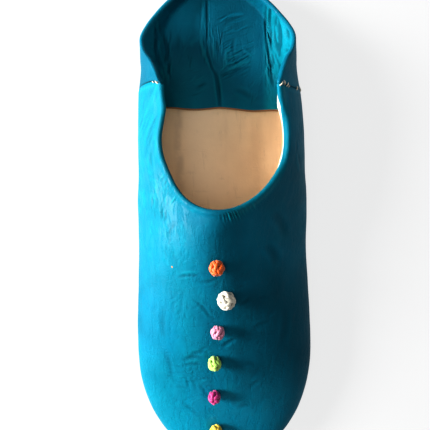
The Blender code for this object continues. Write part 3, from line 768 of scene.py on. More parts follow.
def wrinkle_creases(fields):
    """The separate fine creases of a table of wrinkle fields."""
    creases = []
    for field in fields:
        pick = random.Random(field.seed)
        for _ in range(field.count):
            heading = math.radians(field.heading + field.spread * pick.uniform(-1, 1))
            half = field.length * pick.uniform(0.3, 0.7)
            x = field.across + field.wide * pick.uniform(-1, 1)
            y = field.along + field.long * pick.uniform(-1, 1)
            run_x, run_y = half * math.cos(heading), half * math.sin(heading)
            depth = field.depth * pick.uniform(0.5, 1.0) * pick.choice((1, 1, -1))
            creases.append(Crease(x - run_x, y - run_y, x + run_x, y + run_y, pick.uniform(-0.08, 0.08),
                                  depth, field.width * pick.uniform(0.8, 1.3)))
    return creases


def all_relief(points, creases, fields):
    """Relief of the placed creases and of the fields of fine wrinkles together."""
    return crease_relief(points, creases) + crease_relief(points, wrinkle_creases(fields))


def soft_noise(points, size, seed):
    """Smooth noise between -1 and 1 over places, with waves of that size in metres."""
    flat = points.reshape(-1, 3) / size + seed
    values = np.fromiter((noise.noise(spot) for spot in flat), float, len(flat))
    return values.reshape(points.shape[:-1])


def link_mesh(name, verts, faces, materials, slots=None, values=None):
    """Makes a smooth mesh object, with a material slot for each face and values at each point."""
    mesh = bpy.data.meshes.new(name)
    mesh.from_pydata([tuple(v) for v in verts], [], faces)
    for finish in materials:
        mesh.materials.append(finish)
    if slots is not None:
        mesh.polygons.foreach_set("material_index", np.asarray(slots, np.int32))
    for key, numbers in (values or {}).items():
        stored = mesh.attributes.new(key, "FLOAT", "POINT").data
        stored.foreach_set("value", np.asarray(numbers, np.float32).ravel())
    mesh.shade_smooth()
    mesh.update()
    made = bpy.data.objects.new(name, mesh)
    bpy.context.scene.collection.objects.link(made)
    return made


def tidy_mesh(made, merge=2e-6, sharp=60.0):
    """Merges doubles, turns the faces outward and keeps hard edges."""
    work = bmesh.new()
    work.from_mesh(made.data)
    bmesh.ops.remove_doubles(work, verts=work.verts, dist=merge)
    bmesh.ops.recalc_face_normals(work, faces=work.faces)
    work.to_mesh(made.data)
    work.free()
    made.data.shade_smooth()
    made.data.set_sharp_from_angle(angle=math.radians(sharp))


def grid_faces(rows, columns, closed=False):
    """Quads of a grid stored row by row."""
    faces = []
    for r in range(rows if closed else rows - 1):
        here = r * columns
        after = (r + 1) % rows * columns
        faces += [(here + c, here + c + 1, after + c + 1, after + c) for c in range(columns - 1)]
    return faces


def teal_leather(name, colours, crease_shade, patchy):
    """Dyed goat leather: fine grain, small wrinkles, uneven dye, and painted shade in the creases.

    The mesh says where: trough (0 to 1) lies in a crease and gets painted shade; a worn value marks paler,
    shinier patches, which on the toe are painted light; a shading value is painted light above 0 and
    painted shade below; a brightness value is more painted light; and bare shows undyed leather.
    """
    look = Finish(name)
    broad = look.noise(26.0, 3.0)
    cloud = look.noise(85.0, 5.0, 0.62)
    speck = look.noise(620.0, 3.0)
    colour = look.mix(look.step(broad, 0.30, 0.72), colours.teal_deep, colours.teal)
    # Paler where worn, and painted light on the toe
    worn_and_painted_patches = look.step(look.noise(150.0, 6.0, 0.70), 0.50, 0.66) * look.attribute("rubbed")
    colour = look.mix((worn_and_painted_patches * patchy).clamp(), colour, colours.teal_pale)
    colour = look.mix(look.step(cloud, 0.35, 0.75) * 0.16, colour, colours.teal_pale)
    # Painted light where the value is above 0
    tone = look.attribute("tone")
    colour = look.mix(tone.clamp(), colour, colours.teal_pale)
    # More painted light in bright teal
    colour = look.mix(look.attribute("strong").clamp(), colour, colours.teal_for_painted_light)
    # Painted shade where the value is below 0
    colour = look.mix((tone * -1.0).clamp(), colour, darker(colours.teal_deep, 0.40))
    # Painted shade in the creases
    hollow = look.attribute("trough")
    colour = look.mix((hollow * crease_shade).clamp(), colour, darker(colours.teal_deep, 0.45))
    colour = look.mix(look.step(speck, 0.62, 0.72) * 0.10, colour, darker(colours.teal_deep, 0.50))
    colour = look.mix(look.step(look.attribute("bare"), 0.48, 0.60), colour, DYE_GONE)
    lengthwise = look.noise(240.0, 6.0, 0.66, look.place((1.0, 0.28, 1.0)), 0.6)
    crosswise = look.noise(170.0, 6.0, 0.66, look.place((0.35, 1.0, 1.0)), 0.9)
    folds = look.step(lengthwise, 0.42, 0.52) * 0.6 + look.step(crosswise, 0.45, 0.54) * 0.5
    relief = look.bump(folds, 0.00016, 0.65)
    relief = look.bump(look.noise(420.0, 5.0, 0.6), 0.00010, 0.5, relief)
    relief = look.bump(look.cells(1150.0), 0.00006, 0.45, relief)
    gloss = 0.40 + look.noise(90.0, 4.0) * 0.16 + hollow * 0.10 + speck * 0.05
    shine = look.attribute("rubbed") * look.step(lengthwise, 0.46, 0.58) * 0.26
    return look.finish(Base_Color=colour, Roughness=gloss, Normal=relief, Specular_IOR_Level=0.05,
                       Coat_Weight=shine, Coat_Roughness=0.40)


def plain_leather(name, colour, dark, blotch, gloss, grain, trodden_and_painted_light=0.0):
    """Undyed leather, cloudy with faint streaks and pores.

    Trodden leather also has scratches, a dark band and painted light that pales its left side.
    """
    look = Finish(name)
    cloud = look.noise(34.0, 5.0, 0.6)
    streak = look.noise(120.0, 5.0, 0.6, look.place((1.0, 0.10, 1.0)))
    tint = look.mix(look.step(cloud, 0.30, 0.72) * blotch, colour, dark)
    tint = look.mix(look.step(streak, 0.52, 0.70) * blotch * 0.7, tint, dark)
    mark = look.step(look.noise(520.0, 3.0, 0.5, look.place((1.0, 0.45, 1.0), (0, 0, 0.5))), 0.66, 0.72)
    tint = look.mix(mark * 0.12, tint, darker(dark, 0.65))
    relief = look.bump(look.noise(300.0, 6.0, 0.65), 0.00012 * grain, 0.5)
    if trodden_and_painted_light:
        spot = look.place()
        across = look.add("ShaderNodeSeparateXYZ", {}, {"Vector": spot}, 0)
        along = look.add("ShaderNodeSeparateXYZ", {}, {"Vector": spot}, 1)
        # Painted light, paler towards the left side
        pale = look.step(across, 0.024, -0.026)
        tint = look.mix(pale * trodden_and_painted_light, tint, TAN_PAINTED_LIGHT)
        off = across + look.noise(60.0, 3.0) * 0.005 + 0.0187
        band = 1 - look.step(off.math("ABSOLUTE"), 0.0004, 0.0036)
        band = band * look.step(along, 0.004, 0.026) * look.step(look.noise(140.0, 4.0), 0.25, 0.60) * 0.30
        tint = look.mix(band, tint, darker(dark, 0.62))
        slanting = look.noise(330.0, 5.0, 0.7, look.place((1.0, 0.16, 1.0), (0, 0, 0.65)), 0.4)
        crosswise = look.noise(300.0, 5.0, 0.7, look.place((0.16, 1.0, 1.0), (0, 0, 0.05)), 0.4)
        scratch = look.step(slanting, 0.58, 0.66) * 0.5 + look.step(crosswise, 0.60, 0.68) * 0.45
        tint = look.mix((scratch * 0.30).clamp(), tint, darker(dark, 0.72))
        relief = look.bump(1 - scratch, 0.00010, 0.6, relief)
    relief = look.bump(look.cells(1300.0), 0.00006 * grain, 0.5, relief)
    rough = gloss + cloud * 0.12
    return look.finish(Base_Color=tint, Roughness=rough, Normal=relief, Specular_IOR_Level=0.35)


def thread_finish(name, colour, highlight):
    """Silk thread with fine light fibres, and painted shade where a strand dips under another, on its inner
    side and on the core.
    """
    look = Finish(name)
    fibre = look.noise(2600.0, 4.0, 0.6)
    tint = look.mix((fibre * 0.9 - 0.12).clamp(), colour, highlight)
    # Painted shade on deep strands and the core
    tint = look.mix((look.attribute("depth") * 0.75).clamp(), tint, darker(colour, 0.30))
    return look.finish(Base_Color=tint, Roughness=0.55, Sheen_Weight=0.35, Sheen_Roughness=0.4)


def sizes_and_colours(context):
    """The settings and the last that they give."""
    return Last(context.scene.slipper_sizes), context.scene.slipper_colours


class SLIPPER_OT_stage(bpy.types.Operator):
    """Camera, pale floor and soft studio light"""

    bl_idname = "slipper.stage"
    bl_label = "Stage"

    FOCAL_PX = 480.0
    FRAME_PX = 430.0
    PITCH = math.radians(6.0)
    ROLL = math.radians(1.29)
    DISTANCE = 0.260
    AIM_Y = 0.005
    MIDDLE_PX = 221.6

    def camera(self):
        """Camera over the shoe, tilted a little towards the heel and rolled."""
        data = bpy.data.cameras.new("camera")
        data.sensor_width = 36.0
        data.lens = data.sensor_width * self.FOCAL_PX / self.FRAME_PX
        data.shift_x = (self.FRAME_PX / 2 - self.MIDDLE_PX) / self.FRAME_PX
        data.clip_start = 0.01
        made = bpy.data.objects.new("camera", data)
        down = Vector((0.0, -math.cos(self.PITCH), math.sin(self.PITCH)))
        across = Vector((1.0, 0.0, 0.0))
        back = Vector((0.0, math.sin(self.PITCH), math.cos(self.PITCH)))
        right = across * math.cos(self.ROLL) + down * math.sin(self.ROLL)
        up = across * math.sin(self.ROLL) - down * math.cos(self.ROLL)
        turn = Matrix((right, up, back)).transposed().to_4x4()
        place = Vector((0.0, self.AIM_Y, 0.0)) + back * self.DISTANCE
        made.matrix_world = Matrix.Translation(place) @ turn
        bpy.context.scene.collection.objects.link(made)
        bpy.context.scene.camera = made

    def light(self, name, place, aim, size, power):
        """Soft rectangular light at a place, facing another."""
        data = bpy.data.lights.new(name, "AREA")
        data.shape = "RECTANGLE"
        data.size, data.size_y = size
        data.energy = power
        made = bpy.data.objects.new(name, data)
        made.location = place
        made.rotation_euler = (Vector(place) - Vector(aim)).to_track_quat("Z", "Y").to_euler()
        bpy.context.scene.collection.objects.link(made)

    def execute(self, context):
        self.camera()
        for light in LIGHTS:
            self.light(*light)
        bpy.ops.mesh.primitive_plane_add(size=6.0, location=(0.0, 0.0, -0.0002))
        ground = context.object
        ground.name = "floor"
        look = Finish("pale_floor")
        grain = look.noise(60.0, 3.0)
        shade = look.mix(grain * 0.06, (0.13, 0.13, 0.13), (0.12, 0.12, 0.12))
        ground.data.materials.append(look.finish(
            Base_Color=shade, Roughness=0.9, Specular_IOR_Level=0.1,
            Emission_Color=(1.0, 1.0, 1.0), Emission_Strength=0.79))
        world = bpy.data.worlds.new("studio")
        world.use_nodes = True
        sky = world.node_tree.nodes["Background"]
        sky.inputs["Color"].default_value = (0.92, 0.96, 1.0, 1.0)
        sky.inputs["Strength"].default_value = 0.31
        context.scene.world = world
        context.scene.view_settings.view_transform = "Standard"
        context.scene.view_settings.gamma = 0.77
        return {"FINISHED"}


class SLIPPER_OT_vamp(bpy.types.Operator):
    """Vamp and wings with creases, rolled collar edge and lining"""

    bl_idname = "slipper.vamp"
    bl_label = "Vamp"

    HALF_COLUMNS = 190
    ROWS = 184
    ROLL_ROWS = 12
    TUCK_ROWS = 10
    EDGE_STEPS = 16
    LINING_STEP = 12
    ROLL_WIDTH = 3.4 * MM
    LIP = 1.9 * MM
    LEDGE = 1.0 * MM
    CURL_REACH = 4.8 * MM
    CURL = 0.38 / MM
    CROWDING = 1.5
    LINING_TURN = 158.0
    LINING_SHOWN = 106.0
    LINING_SETBACK = 0.14 * MM
    LINING_DEPTH = 0.02 * MM
    GATHER_REACH = 0.55
    BALL_PRINT = 3.0 * MM
    SPECK = (-23.4, -14.3)

    def spokes(self, last):
        """Grid of the outer face: a row for each step from the collar down to the lower edge."""
        half = self.HALF_COLUMNS
        share = np.abs(np.linspace(-1, 1, 2 * half + 1))
        side = np.sign(np.linspace(-1, 1, 2 * half + 1))
        walk = last.walk(0.0, float(last.share(last.seam_y)), half)
        s = np.concatenate([walk[:0:-1], walk])
        collar = last.collar(share ** FAN)
        foot = last.outline(s)
        spoke = np.linalg.norm(foot - collar, axis=1)
        near = np.linspace(self.LIP, 1.7 * self.ROLL_WIDTH, self.ROLL_ROWS)[:, None] / spoke
        crowd = 1 - (1 - np.arange(1, self.ROWS + 1) / self.ROWS) ** self.CROWDING
        far = near[-1] + (1 - near[-1]) * crowd[:, None]
        marks = np.concatenate([near, far])
        plan = collar + (foot - collar) * marks[..., None]
        x, y = side * plan[..., 0], plan[..., 1]
        width = np.maximum(last.half_width(y), 1e-7)
        x = x + last.ridge(y) * (1 - np.minimum(np.abs(x) / width, 1))
        leant = x + last.lean_in(x, y)
        from_edge = marks * spoke
        at = collar[:, 1] / MM
        curled = smooth(ramp(at, 14, 40) * ramp(at, 69, 49) * (side > 0))
        within = np.clip(self.CURL_REACH * (0.7 + 0.3 * curled) - from_edge, 0, None)
        drop = self.CURL * curled * within ** 2
        grid = np.stack([leant, y + last.seam_slip(leant, y), last.vamp_height(x, y) - drop], -1)
        tuck = last.tuck(s, self.TUCK_ROWS)
        tuck[..., 0] *= side
        tuck[..., 1] += last.seam_slip(tuck[..., 0], tuck[..., 1])
        self.from_edge = np.concatenate([from_edge, np.full(tuck.shape[:2], 1.0)])
        self.to_seam = last.seam_y - np.concatenate([y, np.repeat(y[-1:], self.TUCK_ROWS, 0)])
        return last.waist(np.concatenate([grid, tuck]))

    def relief(self, last, grid):
        """How far the outer face stands off the last's surface."""
        roll = self.from_edge / self.ROLL_WIDTH
        raised = last.roll * (1 - smooth(ramp(roll, 0.35, 1.1)))
        away = ramp(roll, 1.0, 2.2)
        creases = all_relief(grid, VAMP_CREASES, VAMP_WRINKLES)
        walked = walked_along(grid[0]) / MM
        walked = walked - np.interp(0.0, grid[0, :, 0], walked)
        gather = np.zeros_like(creases)
        for gathers in GATHERS:
            turn = math.tau * walked / gathers.apart
            waves = np.sin(turn) + 0.5 * np.sin(turn / 1.7)
            window = bell(walked, gathers.place, gathers.spread)
            gather += gathers.depth * MM * waves * window * bell(roll, gathers.out, self.GATHER_REACH)
        gather -= 0.22 * MM * bell(self.to_seam, 0, 0.6 * MM)
        gather += 0.10 * MM * bell(self.to_seam, 1.9 * MM, 0.8 * MM)
        rolling = soft_noise(grid, 24 * MM, 3.1) * 0.30 * MM + soft_noise(grid, 9 * MM, 7.7) * 0.10 * MM
        lines = soft_noise(grid * np.array([1.0, 0.35, 1.0]), 2.2 * MM, 1.3) * 0.05 * MM
        for ball in BALLS:
            low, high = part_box(ball.node)
            centre = np.array((low + high) / 2)[:2]
            gap = np.linalg.norm(grid[..., :2] - centre, axis=-1)
            creases = creases - 0.30 * MM * bell(gap, 0, self.BALL_PRINT)
        # Troughs, with the dents under the balls, get painted shade
        self.trough = ramp(creases, 0, -0.28 * MM)
        self.proud = creases
        self.gathered = gather
        return raised + away * (creases + rolling + lines) + gather

    def dye_wear_and_painted_light(self, layers):
        """How the dye, the worn places and the painted light and shade lie, at each point, as teal_leather
        reads them.
        """
        x, y = layers[..., 0] / MM, layers[..., 1] / MM
        from_edge, trough, proud, gathered = np.zeros((4, *x.shape))
        outer = slice(len(self.from_edge))
        from_edge[outer] = self.from_edge[::-1] / MM
        trough[outer] = self.trough[::-1]
        proud[outer] = ramp(self.proud[::-1], 0, 0.15 * MM)
        gathered[outer] = ramp(self.gathered[::-1], 0, 0.25 * MM)
        flank = bell(y, 22, 34) * ramp(x, 0, -18)
        # The toe gets painted light: paler and brighter teal
        toe = ramp(y, -62, -88) * bell(x, -8, 30)
        slope = ramp(x, 1, 8) * bell(y, -50, 32, 4)
        clear = ramp(from_edge, 3, 5)
        # Painted light on the left flank and on the right of the rolled edge
        tone = 0.40 * ramp(x, -8, -30) + 0.3 * (1 - clear) * ramp(x, 0, 8)
        # Painted shade right of the ridge and on the right flank; darker on the left flank beside the balls
        tone -= clear * (0.45 * slope + 0.15 * ramp(x, 12, 24))
        tone -= 0.50 * bell(y, -46, 26) * ramp(x, -18, -30)
        # Painted highlights where creases and gathers stand proud
        tone += 0.35 * proud + 0.90 * gathered
        bare = bell(x, self.SPECK[0], 0.55) * bell(y, self.SPECK[1], 0.75) * (from_edge > 0)
        # Worn on the left flank; the toe's part is painted light
        return {"trough": trough, "rubbed": 0.75 * (flank + toe), "tone": tone, "bare": bare,
                "strong": 0.45 * toe}

    def execute(self, context):
        last, colours = sizes_and_colours(context)
        grid = self.spokes(last)
        normals = -grid_normals(grid)
        if normals[..., 2].mean() < 0:
            normals = -normals
        outer = grid + normals * self.relief(last, grid)[..., None]
        edge = (last.wall + last.roll) / 2
        toward = unit(grid[0] - grid[1])
        at = grid[0, :, 1] / MM
        shown = ramp(at, 25, 33) * ramp(at, 64, 57) * (grid[0, :, 0] > 0)
        lined = np.radians(self.LINING_TURN - self.LINING_SHOWN * shown)
        half_steps = self.EDGE_STEPS // 2
        first = np.linspace(0, 1, half_steps + 1)[1:, None] * lined
        second = lined + np.linspace(0, 1, half_steps + 1)[:-1, None] * (math.pi - lined)
        turn = np.concatenate([first, second])
        radius = np.full(turn.shape, edge)
        radius[half_steps:] -= self.LINING_SETBACK
        rolled = (grid[0] + normals[0] * (last.roll - edge)
                  + normals[0] * (radius * np.cos(turn))[..., None]
                  + toward * (self.LIP * np.sin(turn))[..., None])
        ledge = np.sin(ramp(turn, lined, math.pi) ** 0.6 * math.pi) * shown
        rolled = rolled + toward * (self.LEDGE * ledge)[..., None]
        inner = grid - normals * (last.wall - self.LINING_DEPTH)
        inside = inner[::self.LINING_STEP].copy()
        inside[-1] = inner[-1]
        layers = np.concatenate([outer[::-1], rolled, inside])
        rows, columns = layers.shape[:2]
        outer_rows = len(outer)
        faces = grid_faces(rows, columns, closed=True)
        slots = []
        for r in range(rows):
            lining = outer_rows + half_steps - 1 <= r < rows - 1
            slots += [1 if lining else 0] * (columns - 1)
        faces.append(tuple(r * columns for r in range(rows)))
        faces.append(tuple(r * columns + columns - 1 for r in reversed(range(rows))))
        slots += [2, 2]
        teal = teal_leather("teal_leather", colours, 0.55, 0.75)
        cream = plain_leather("cream_lining", colours.cream, CREAM_DARK, 0.35, 0.62, 1.0)
        raw = plain_leather("dyed_seam_edge", *DYED, 0.6, 0.7, 2.0)
        made = link_mesh("vamp", layers.reshape(-1, 3), faces, (teal, cream, raw), slots, self.dye_wear_and_painted_light(layers))
        tidy_mesh(made)
        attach(made, "root")
        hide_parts("upper")
        return {"FINISHED"}


class SLIPPER_OT_heel(bpy.types.Operator):
    """Trodden-down heel piece: outer wall, fold and the flap on the insole"""

    bl_idname = "slipper.heel"
    bl_label = "Heel piece"

    HALF_COLUMNS = 128
    TUCK_ROWS = 6
    WALL_ROWS = 16
    FOLD_ROWS = 12
    CREASE_ROWS = 40
    FLAP_ROWS = 72
    BARE = 1.6 * MM
    SEAM_GAP = 0.06 * MM
    SEAM_STRIP = 0.90 * MM
    GUIDE = 0.35

    def column(self, last, s, around):
        """Points from the lower edge up, over the fold and down to the middle of the flap."""
        foot = last.outline(s)
        inward = np.array([-1.0, 0.0]) if s <= HEEL_ZONE else -last.normal(s)
        if s >= 1.0 - 1e-9:
            inward = np.array([0.0, -1.0])
        top = float(table_curve(FOLDS, "ridge", around)) * last.seam_height
        inset = float(table_curve(FOLDS, "ridge_inset", around)) * (last.seam_width - last.seam_x)
        points = list(last.tuck(np.array([s]), self.TUCK_ROWS)[::-1, 0])

        def at(depth, z):
            return np.array([*(foot + inward * depth), z])

        base = float(last.lift(foot[1])) + last.bulge
        lean = inset / last.seam_width
        part = (np.arange(self.WALL_ROWS + 1) / self.WALL_ROWS) ** 2
        share = arch_share(1 - lean * part, 2.0) / arch_share(1 - lean, 2.0)
        points += [at(inset * p, base + (top - base) * h) for p, h in zip(part, share)]
        floor = float(last.floor(foot[1]))
        crease_inset = float(table_curve(FOLDS, "crease_inset", around)) * last.heel
        rise = points[-1] - points[-3]
        bend = last.FOLD_RADIUS
        start = math.atan2(rise[2], rise[:2] @ inward)
        end = -math.atan2(top - floor, crease_inset - inset - 2 * bend)
        depth = inset + bend * math.sin(start)
        height = top - bend * math.cos(start)
        for turn in start + (end - start) * np.arange(1, self.FOLD_ROWS + 1) / self.FOLD_ROWS:
            points.append(at(depth - bend * math.sin(turn), height + bend * math.cos(turn)))
        forward = float(table_curve(FOLDS, "crease_forward", around)) * last.length
        crease = at(crease_inset, floor) - np.array([0.0, forward, 0.0])
        middle_y = last.at(last.FLAP_FRONT_ALONG) + last.FLAP_LENGTH * (1 - around)
        middle = np.array([0.0, middle_y, float(last.floor(middle_y))])
        reach = min(last.CREASE_ROUND, np.linalg.norm(middle - crease) / 2)
        landing = crease + unit(middle - crease) * reach
        inner = points[-1]
        heading = np.array([*inward, 0.0]) * math.cos(end) + np.array([0.0, 0.0, math.sin(end)])
        guide = inner + heading * (top - floor) * self.GUIDE
        for t in np.arange(1, self.CREASE_ROWS + 1) / self.CREASE_ROWS:
            points.append(inner * (1 - t) ** 3 + guide * 3 * t * (1 - t) ** 2
                          + crease * 3 * t * t * (1 - t) + landing * t ** 3)
        for t in np.arange(1, self.FLAP_ROWS + 1) / self.FLAP_ROWS:
            points.append(landing + (middle - landing) * t)
        return points

    def relief(self, grid, part):
        """How far the grain side stands off its plain form.

        part: 0 to 1 up the wall, to 2 over the fold, to 3 down to the crease, to 4 along the flap.
        """
        flap = ramp(part, 3.0, 3.3)
        layer = ramp(part, 2.0, 2.2) * (1 - flap)
        relief = all_relief(grid, FLAP_CREASES, FLAP_WRINKLES) * flap
        relief += all_relief(grid, STRIP_CREASES, STRIP_WRINKLES) * layer
        # Troughs get painted shade
        self.trough = ramp(relief, 0, -0.25 * MM)
        self.proud = ramp(relief, 0, 0.15 * MM)
        relief += soft_noise(grid, 16 * MM, 5.5) * 0.30 * MM * (0.4 + 0.6 * flap)
        relief += soft_noise(grid, 5 * MM, 2.5) * 0.10 * MM * (layer + 0.5 * flap)
        return relief

    def settle(self, last, grid, normals, part, first):
        """The leather with its relief, wavy front edge and pulled seams, and how raw its edge is.

        The raw edge takes in each end column from the row called first.
        """
        relief = self.relief(grid, part)
        front_y = last.at(last.FLAP_FRONT_ALONG)
        front = ramp(grid[..., 1], front_y + 9 * MM, front_y)
        corner = front * ramp(part, 2.2, 2.6)
        front = front * ramp(part, 2.95, 3.15)
        x = grid[..., 0] / MM
        wave = 0.35 * np.sin(x * 0.24 + 0.6) + 0.25 * np.sin(x * 0.55 + 2.0)
        grid = grid + normals * relief[..., None]
        x = grid[..., 0] / MM
        grid[..., 2] += (0.30 + wave) * MM * front
        grid[..., 1] += 0.45 * MM * np.sin(x * 0.21 + 1.2) * front
        grid[..., 1] -= 2.8 * MM * ramp(x, 0, 31) * corner
        wall = 1 - ramp(part, 1.7, 2.2)
        grid[..., 1] += last.seam_slip(grid[..., 0], grid[..., 1]) * wall
        cut = np.concatenate([grid[0, first:], grid[-1, :first - 1:-1]])
        gap = grid[..., 1] - np.interp(grid[..., 0], cut[:, 0], cut[:, 1])
        bare = ramp(gap, self.BARE, 0) * (part > 2.7)
        grid[..., 2] -= 0.5 * MM * ramp(bare, 0.5, 1)
        from_seam = (1 - np.abs(np.linspace(-1, 1, len(grid))))[:, None] * self.HALF_COLUMNS
        grid[..., 2] -= 0.20 * MM * bell(from_seam, 0, 0.9) * wall
        return last.waist(grid), bare

    def dye_wear_and_painted_light(self, grid, part):
        """How the dye, the worn places and the painted light and shade lie, at each point, as teal_leather
        reads them.
        """
        x, y = grid[..., 0] / MM, grid[..., 1] / MM
        lying = ramp(part, 2.6, 3.0)
        strip = ramp(part, 1.8, 2.1) * ramp(x, 22, 26)
        # Painted light on the right strip and on the flap's heelward left
        strong = 0.25 * strip + lying * bell(x, -18, 13) * ramp(y, 91, 103)
        # Painted light on the right strip, on proud creases and over the left of the fold; paler on the
        # flap's left
        tone = strip + 0.45 * self.proud
        tone += 0.60 * bell(part, 1.4, 0.5) * ramp(x, 0, -16) * ramp(y, 84, 92)
        tone += lying * 0.20 * ramp(x, 0, -12) * ramp(y, 92, 80)
        # Darker on the left wall, and painted shade on the flap's heelward right
        tone -= 0.40 * ramp(part, 2, 1.7) * ramp(x, 0, -20)
        tone -= lying * 0.55 * bell(x, 10, 14) * ramp(y, 88, 100)
        rubbed = 0.8 * bell(part, 1.7, 0.45)
        return {"trough": self.trough, "rubbed": rubbed, "tone": tone, "strong": strong}

    def execute(self, context):
        last, colours = sizes_and_colours(context)
        seam = float(last.share(last.seam_y + self.SEAM_GAP))
        strip = float(last.share(last.seam_y + self.SEAM_GAP + self.SEAM_STRIP))
        walk = last.walk(1.0, strip, self.HALF_COLUMNS)
        half = [self.column(last, s, i / self.HALF_COLUMNS) for i, s in enumerate(walk)]
        half.append(self.column(last, seam, 1.0))
        half = np.array(half)
        half[0, :, 0] = 0.0
        left = half[:0:-1] * np.array([-1.0, 1.0, 1.0])
        grid = np.concatenate([left, half])
        normals = grid_normals(grid)
        count, rows = grid.shape[:2]
        fold = self.TUCK_ROWS + self.WALL_ROWS
        starts = np.cumsum([fold, self.FOLD_ROWS, self.CREASE_ROWS, self.FLAP_ROWS])
        part = np.interp(np.arange(rows), (0, *starts), (0, 1, 2, 3, 4))[None] * np.ones((count, 1))
        if normals[:, -2, 2].mean() < 0:
            normals = -normals
        normals[:, -1] = (0.0, 0.0, 1.0)
        grid, bare = self.settle(last, grid, normals, part, starts[2] - 6)
        teal = teal_leather("teal_heel_leather", colours, 0.60, 0.25)
        flesh = plain_leather("flesh_side", *FLESH, 0.5, 0.85, 2.0)
        edge = plain_leather("cut_edge", *CUT, 0.6, 0.75, 2.0)
        dyed = plain_leather("dyed_edge", *DYED, 0.6, 0.7, 2.0)
        # Grain side, inner side and cut rim, and the same three beside the seams
        finishes = (teal, flesh, edge, teal, flesh, dyed)
        faces = grid_faces(count, rows)
        slots = []
        for c in range(count - 1):
            slots += [3 if c in (0, 1, count - 3, count - 2) else 0] * (rows - 1)
        values = {"bare": bare, **self.dye_wear_and_painted_light(grid, part)}
        made = link_mesh("heel_piece", grid.reshape(-1, 3), faces, finishes, slots, values)
        tidy_mesh(made, 1e-5)
        up = sum((f.normal.z * f.area for f in made.data.polygons if f.center.z < 10 * MM), 0.0)
        if up < 0:
            made.data.flip_normals()
        shell = made.modifiers.new("wall", "SOLIDIFY")
        shell.thickness = last.heel_wall
        shell.offset = -1.0
        shell.material_offset = 1
        shell.material_offset_rim = 2
        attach(made, "root")
        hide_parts("heel_quarter")
        return {"FINISHED"}


def bridge(previous, current):
    """Faces between two rows of points, without those that have no width."""
    faces = []
    for c in range(len(current) - 1):
        corners = dict.fromkeys((previous[c], current[c], current[c + 1], previous[c + 1]))
        if len(corners) > 2:
            faces.append(tuple(corners))
    return faces


def slab(last, name, inset, height, thickness, edge, steps, columns, relief, materials):
    """Flat piece that follows the outline: rounded edge rings and two gridded faces."""
    s = last.walk(0.0, 1.0, steps)
    plan, normal = last.outline(s), last.normal(s)
    plan[[0, -1], 0] = 0.0
    normal[0], normal[-1] = (0.0, -1.0), (0.0, 1.0)
    turns = np.linspace(0, math.pi / 2, 6)
    profile = [(edge * (1 - math.cos(t)), edge * (1 - math.sin(t))) for t in turns]
    profile += [(thickness - z, draw) for z, draw in reversed(profile)]
    verts, faces, slots = [], [], []
    rings = []
    for z, draw in profile:
        right = plan - normal * (inset + draw)
        ring = last.waist(np.concatenate([right, (right * (-1, 1))[-2:0:-1]]))
        level = np.column_stack([ring, height(ring[:, 1]) + z])
        rings.append(range(len(verts), len(verts) + len(level)))
        verts += list(level)
    count = len(rings[0])
    for low, high in zip(rings, rings[1:]):
        for i in range(count):
            after = (i + 1) % count
            faces.append((low[i], low[after], high[after], high[i]))
            slots.append(1)
    for ring, top in ((rings[0], False), (rings[-1], True)):
        previous = [ring[0]] * (columns + 1)
        for k in range(1, steps + 1):
            if k == steps:
                current = [ring[steps]] * (columns + 1)
            else:
                right, left = verts[ring[k]], verts[ring[count - k]]
                current = [ring[k]]
                for c in range(1, columns):
                    spot = right + (left - right) * c / columns
                    if top:
                        spot = spot + np.array([0.0, 0.0, relief(spot)])
                    current.append(len(verts))
                    verts.append(spot)
                current.append(ring[count - k])
            made = bridge(previous, current)
            faces += made
            slots += [0 if top else 2] * len(made)
            previous = current
    made = link_mesh(name, verts, faces, materials, slots)
    tidy_mesh(made, 1e-7, 50.0)
    return made


class SLIPPER_OT_soles(bpy.types.Operator):
    """Leather outsole and tan insole"""

    bl_idname = "slipper.soles"
    bl_label = "Soles"

    OUTSOLE_INSET = 2.4 * MM
    OUTSOLE_EDGE = 0.8 * MM
    OUTSOLE_STEPS = 150
    OUTSOLE_COLUMNS = 2
    INSOLE_EDGE = 0.7 * MM
    INSOLE_STEPS = 170
    INSOLE_COLUMNS = 64
    PRINT_DEPTH = 0.25
    PRINTS = ((80.0 * MM, 20.0 * MM, 26.0 * MM), (-50.0 * MM, 28.0 * MM, 34.0 * MM))

    def execute(self, context):
        last, colours = sizes_and_colours(context)
        under = plain_leather("sole_underside", colours.sole, SOLE_DARK, 0.7, 0.62, 1.5)
        side = plain_leather("sole_edge", *SOLE_EDGE, 0.6, 0.45, 1.5)
        top = plain_leather("sole_upperside", colours.sole, SOLE_DARK, 0.5, 0.7, 1.5)
        outsole = slab(last, "sole", self.OUTSOLE_INSET, last.lift, last.OUTSOLE, self.OUTSOLE_EDGE,
                       self.OUTSOLE_STEPS, self.OUTSOLE_COLUMNS, lambda spot: 0.0, (top, side, under))
        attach(outsole, "root")
        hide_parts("outsole")

        def dish(spot):
            """Shallow print of the heel and the ball of the foot, and soft waves in the leather."""
            pressed = sum(bell(spot[0], 0, wide) * bell(spot[1], place, long)
                          for place, wide, long in self.PRINTS)
            waves = noise.noise(Vector(spot) * 70.0) * 0.10 + noise.noise(Vector(spot) * 190.0) * 0.04
            return (waves - self.PRINT_DEPTH * pressed) * MM

        tan = plain_leather("tan_insole", colours.tan, TAN_DARK, 0.55, 0.50, 1.0, 0.55)
        edge = plain_leather("tan_insole_edge", *TAN_EDGE, 0.5, 0.7, 1.5)
        inset = last.TUCK_UNDER + last.wall + last.CLEARANCE
        insole = slab(last, "insole_leather", inset, last.rim, last.INSOLE, self.INSOLE_EDGE,
                      self.INSOLE_STEPS, self.INSOLE_COLUMNS, dish, (tan, edge, edge))
        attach(insole, "root")
        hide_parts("insole")
        return {"FINISHED"}


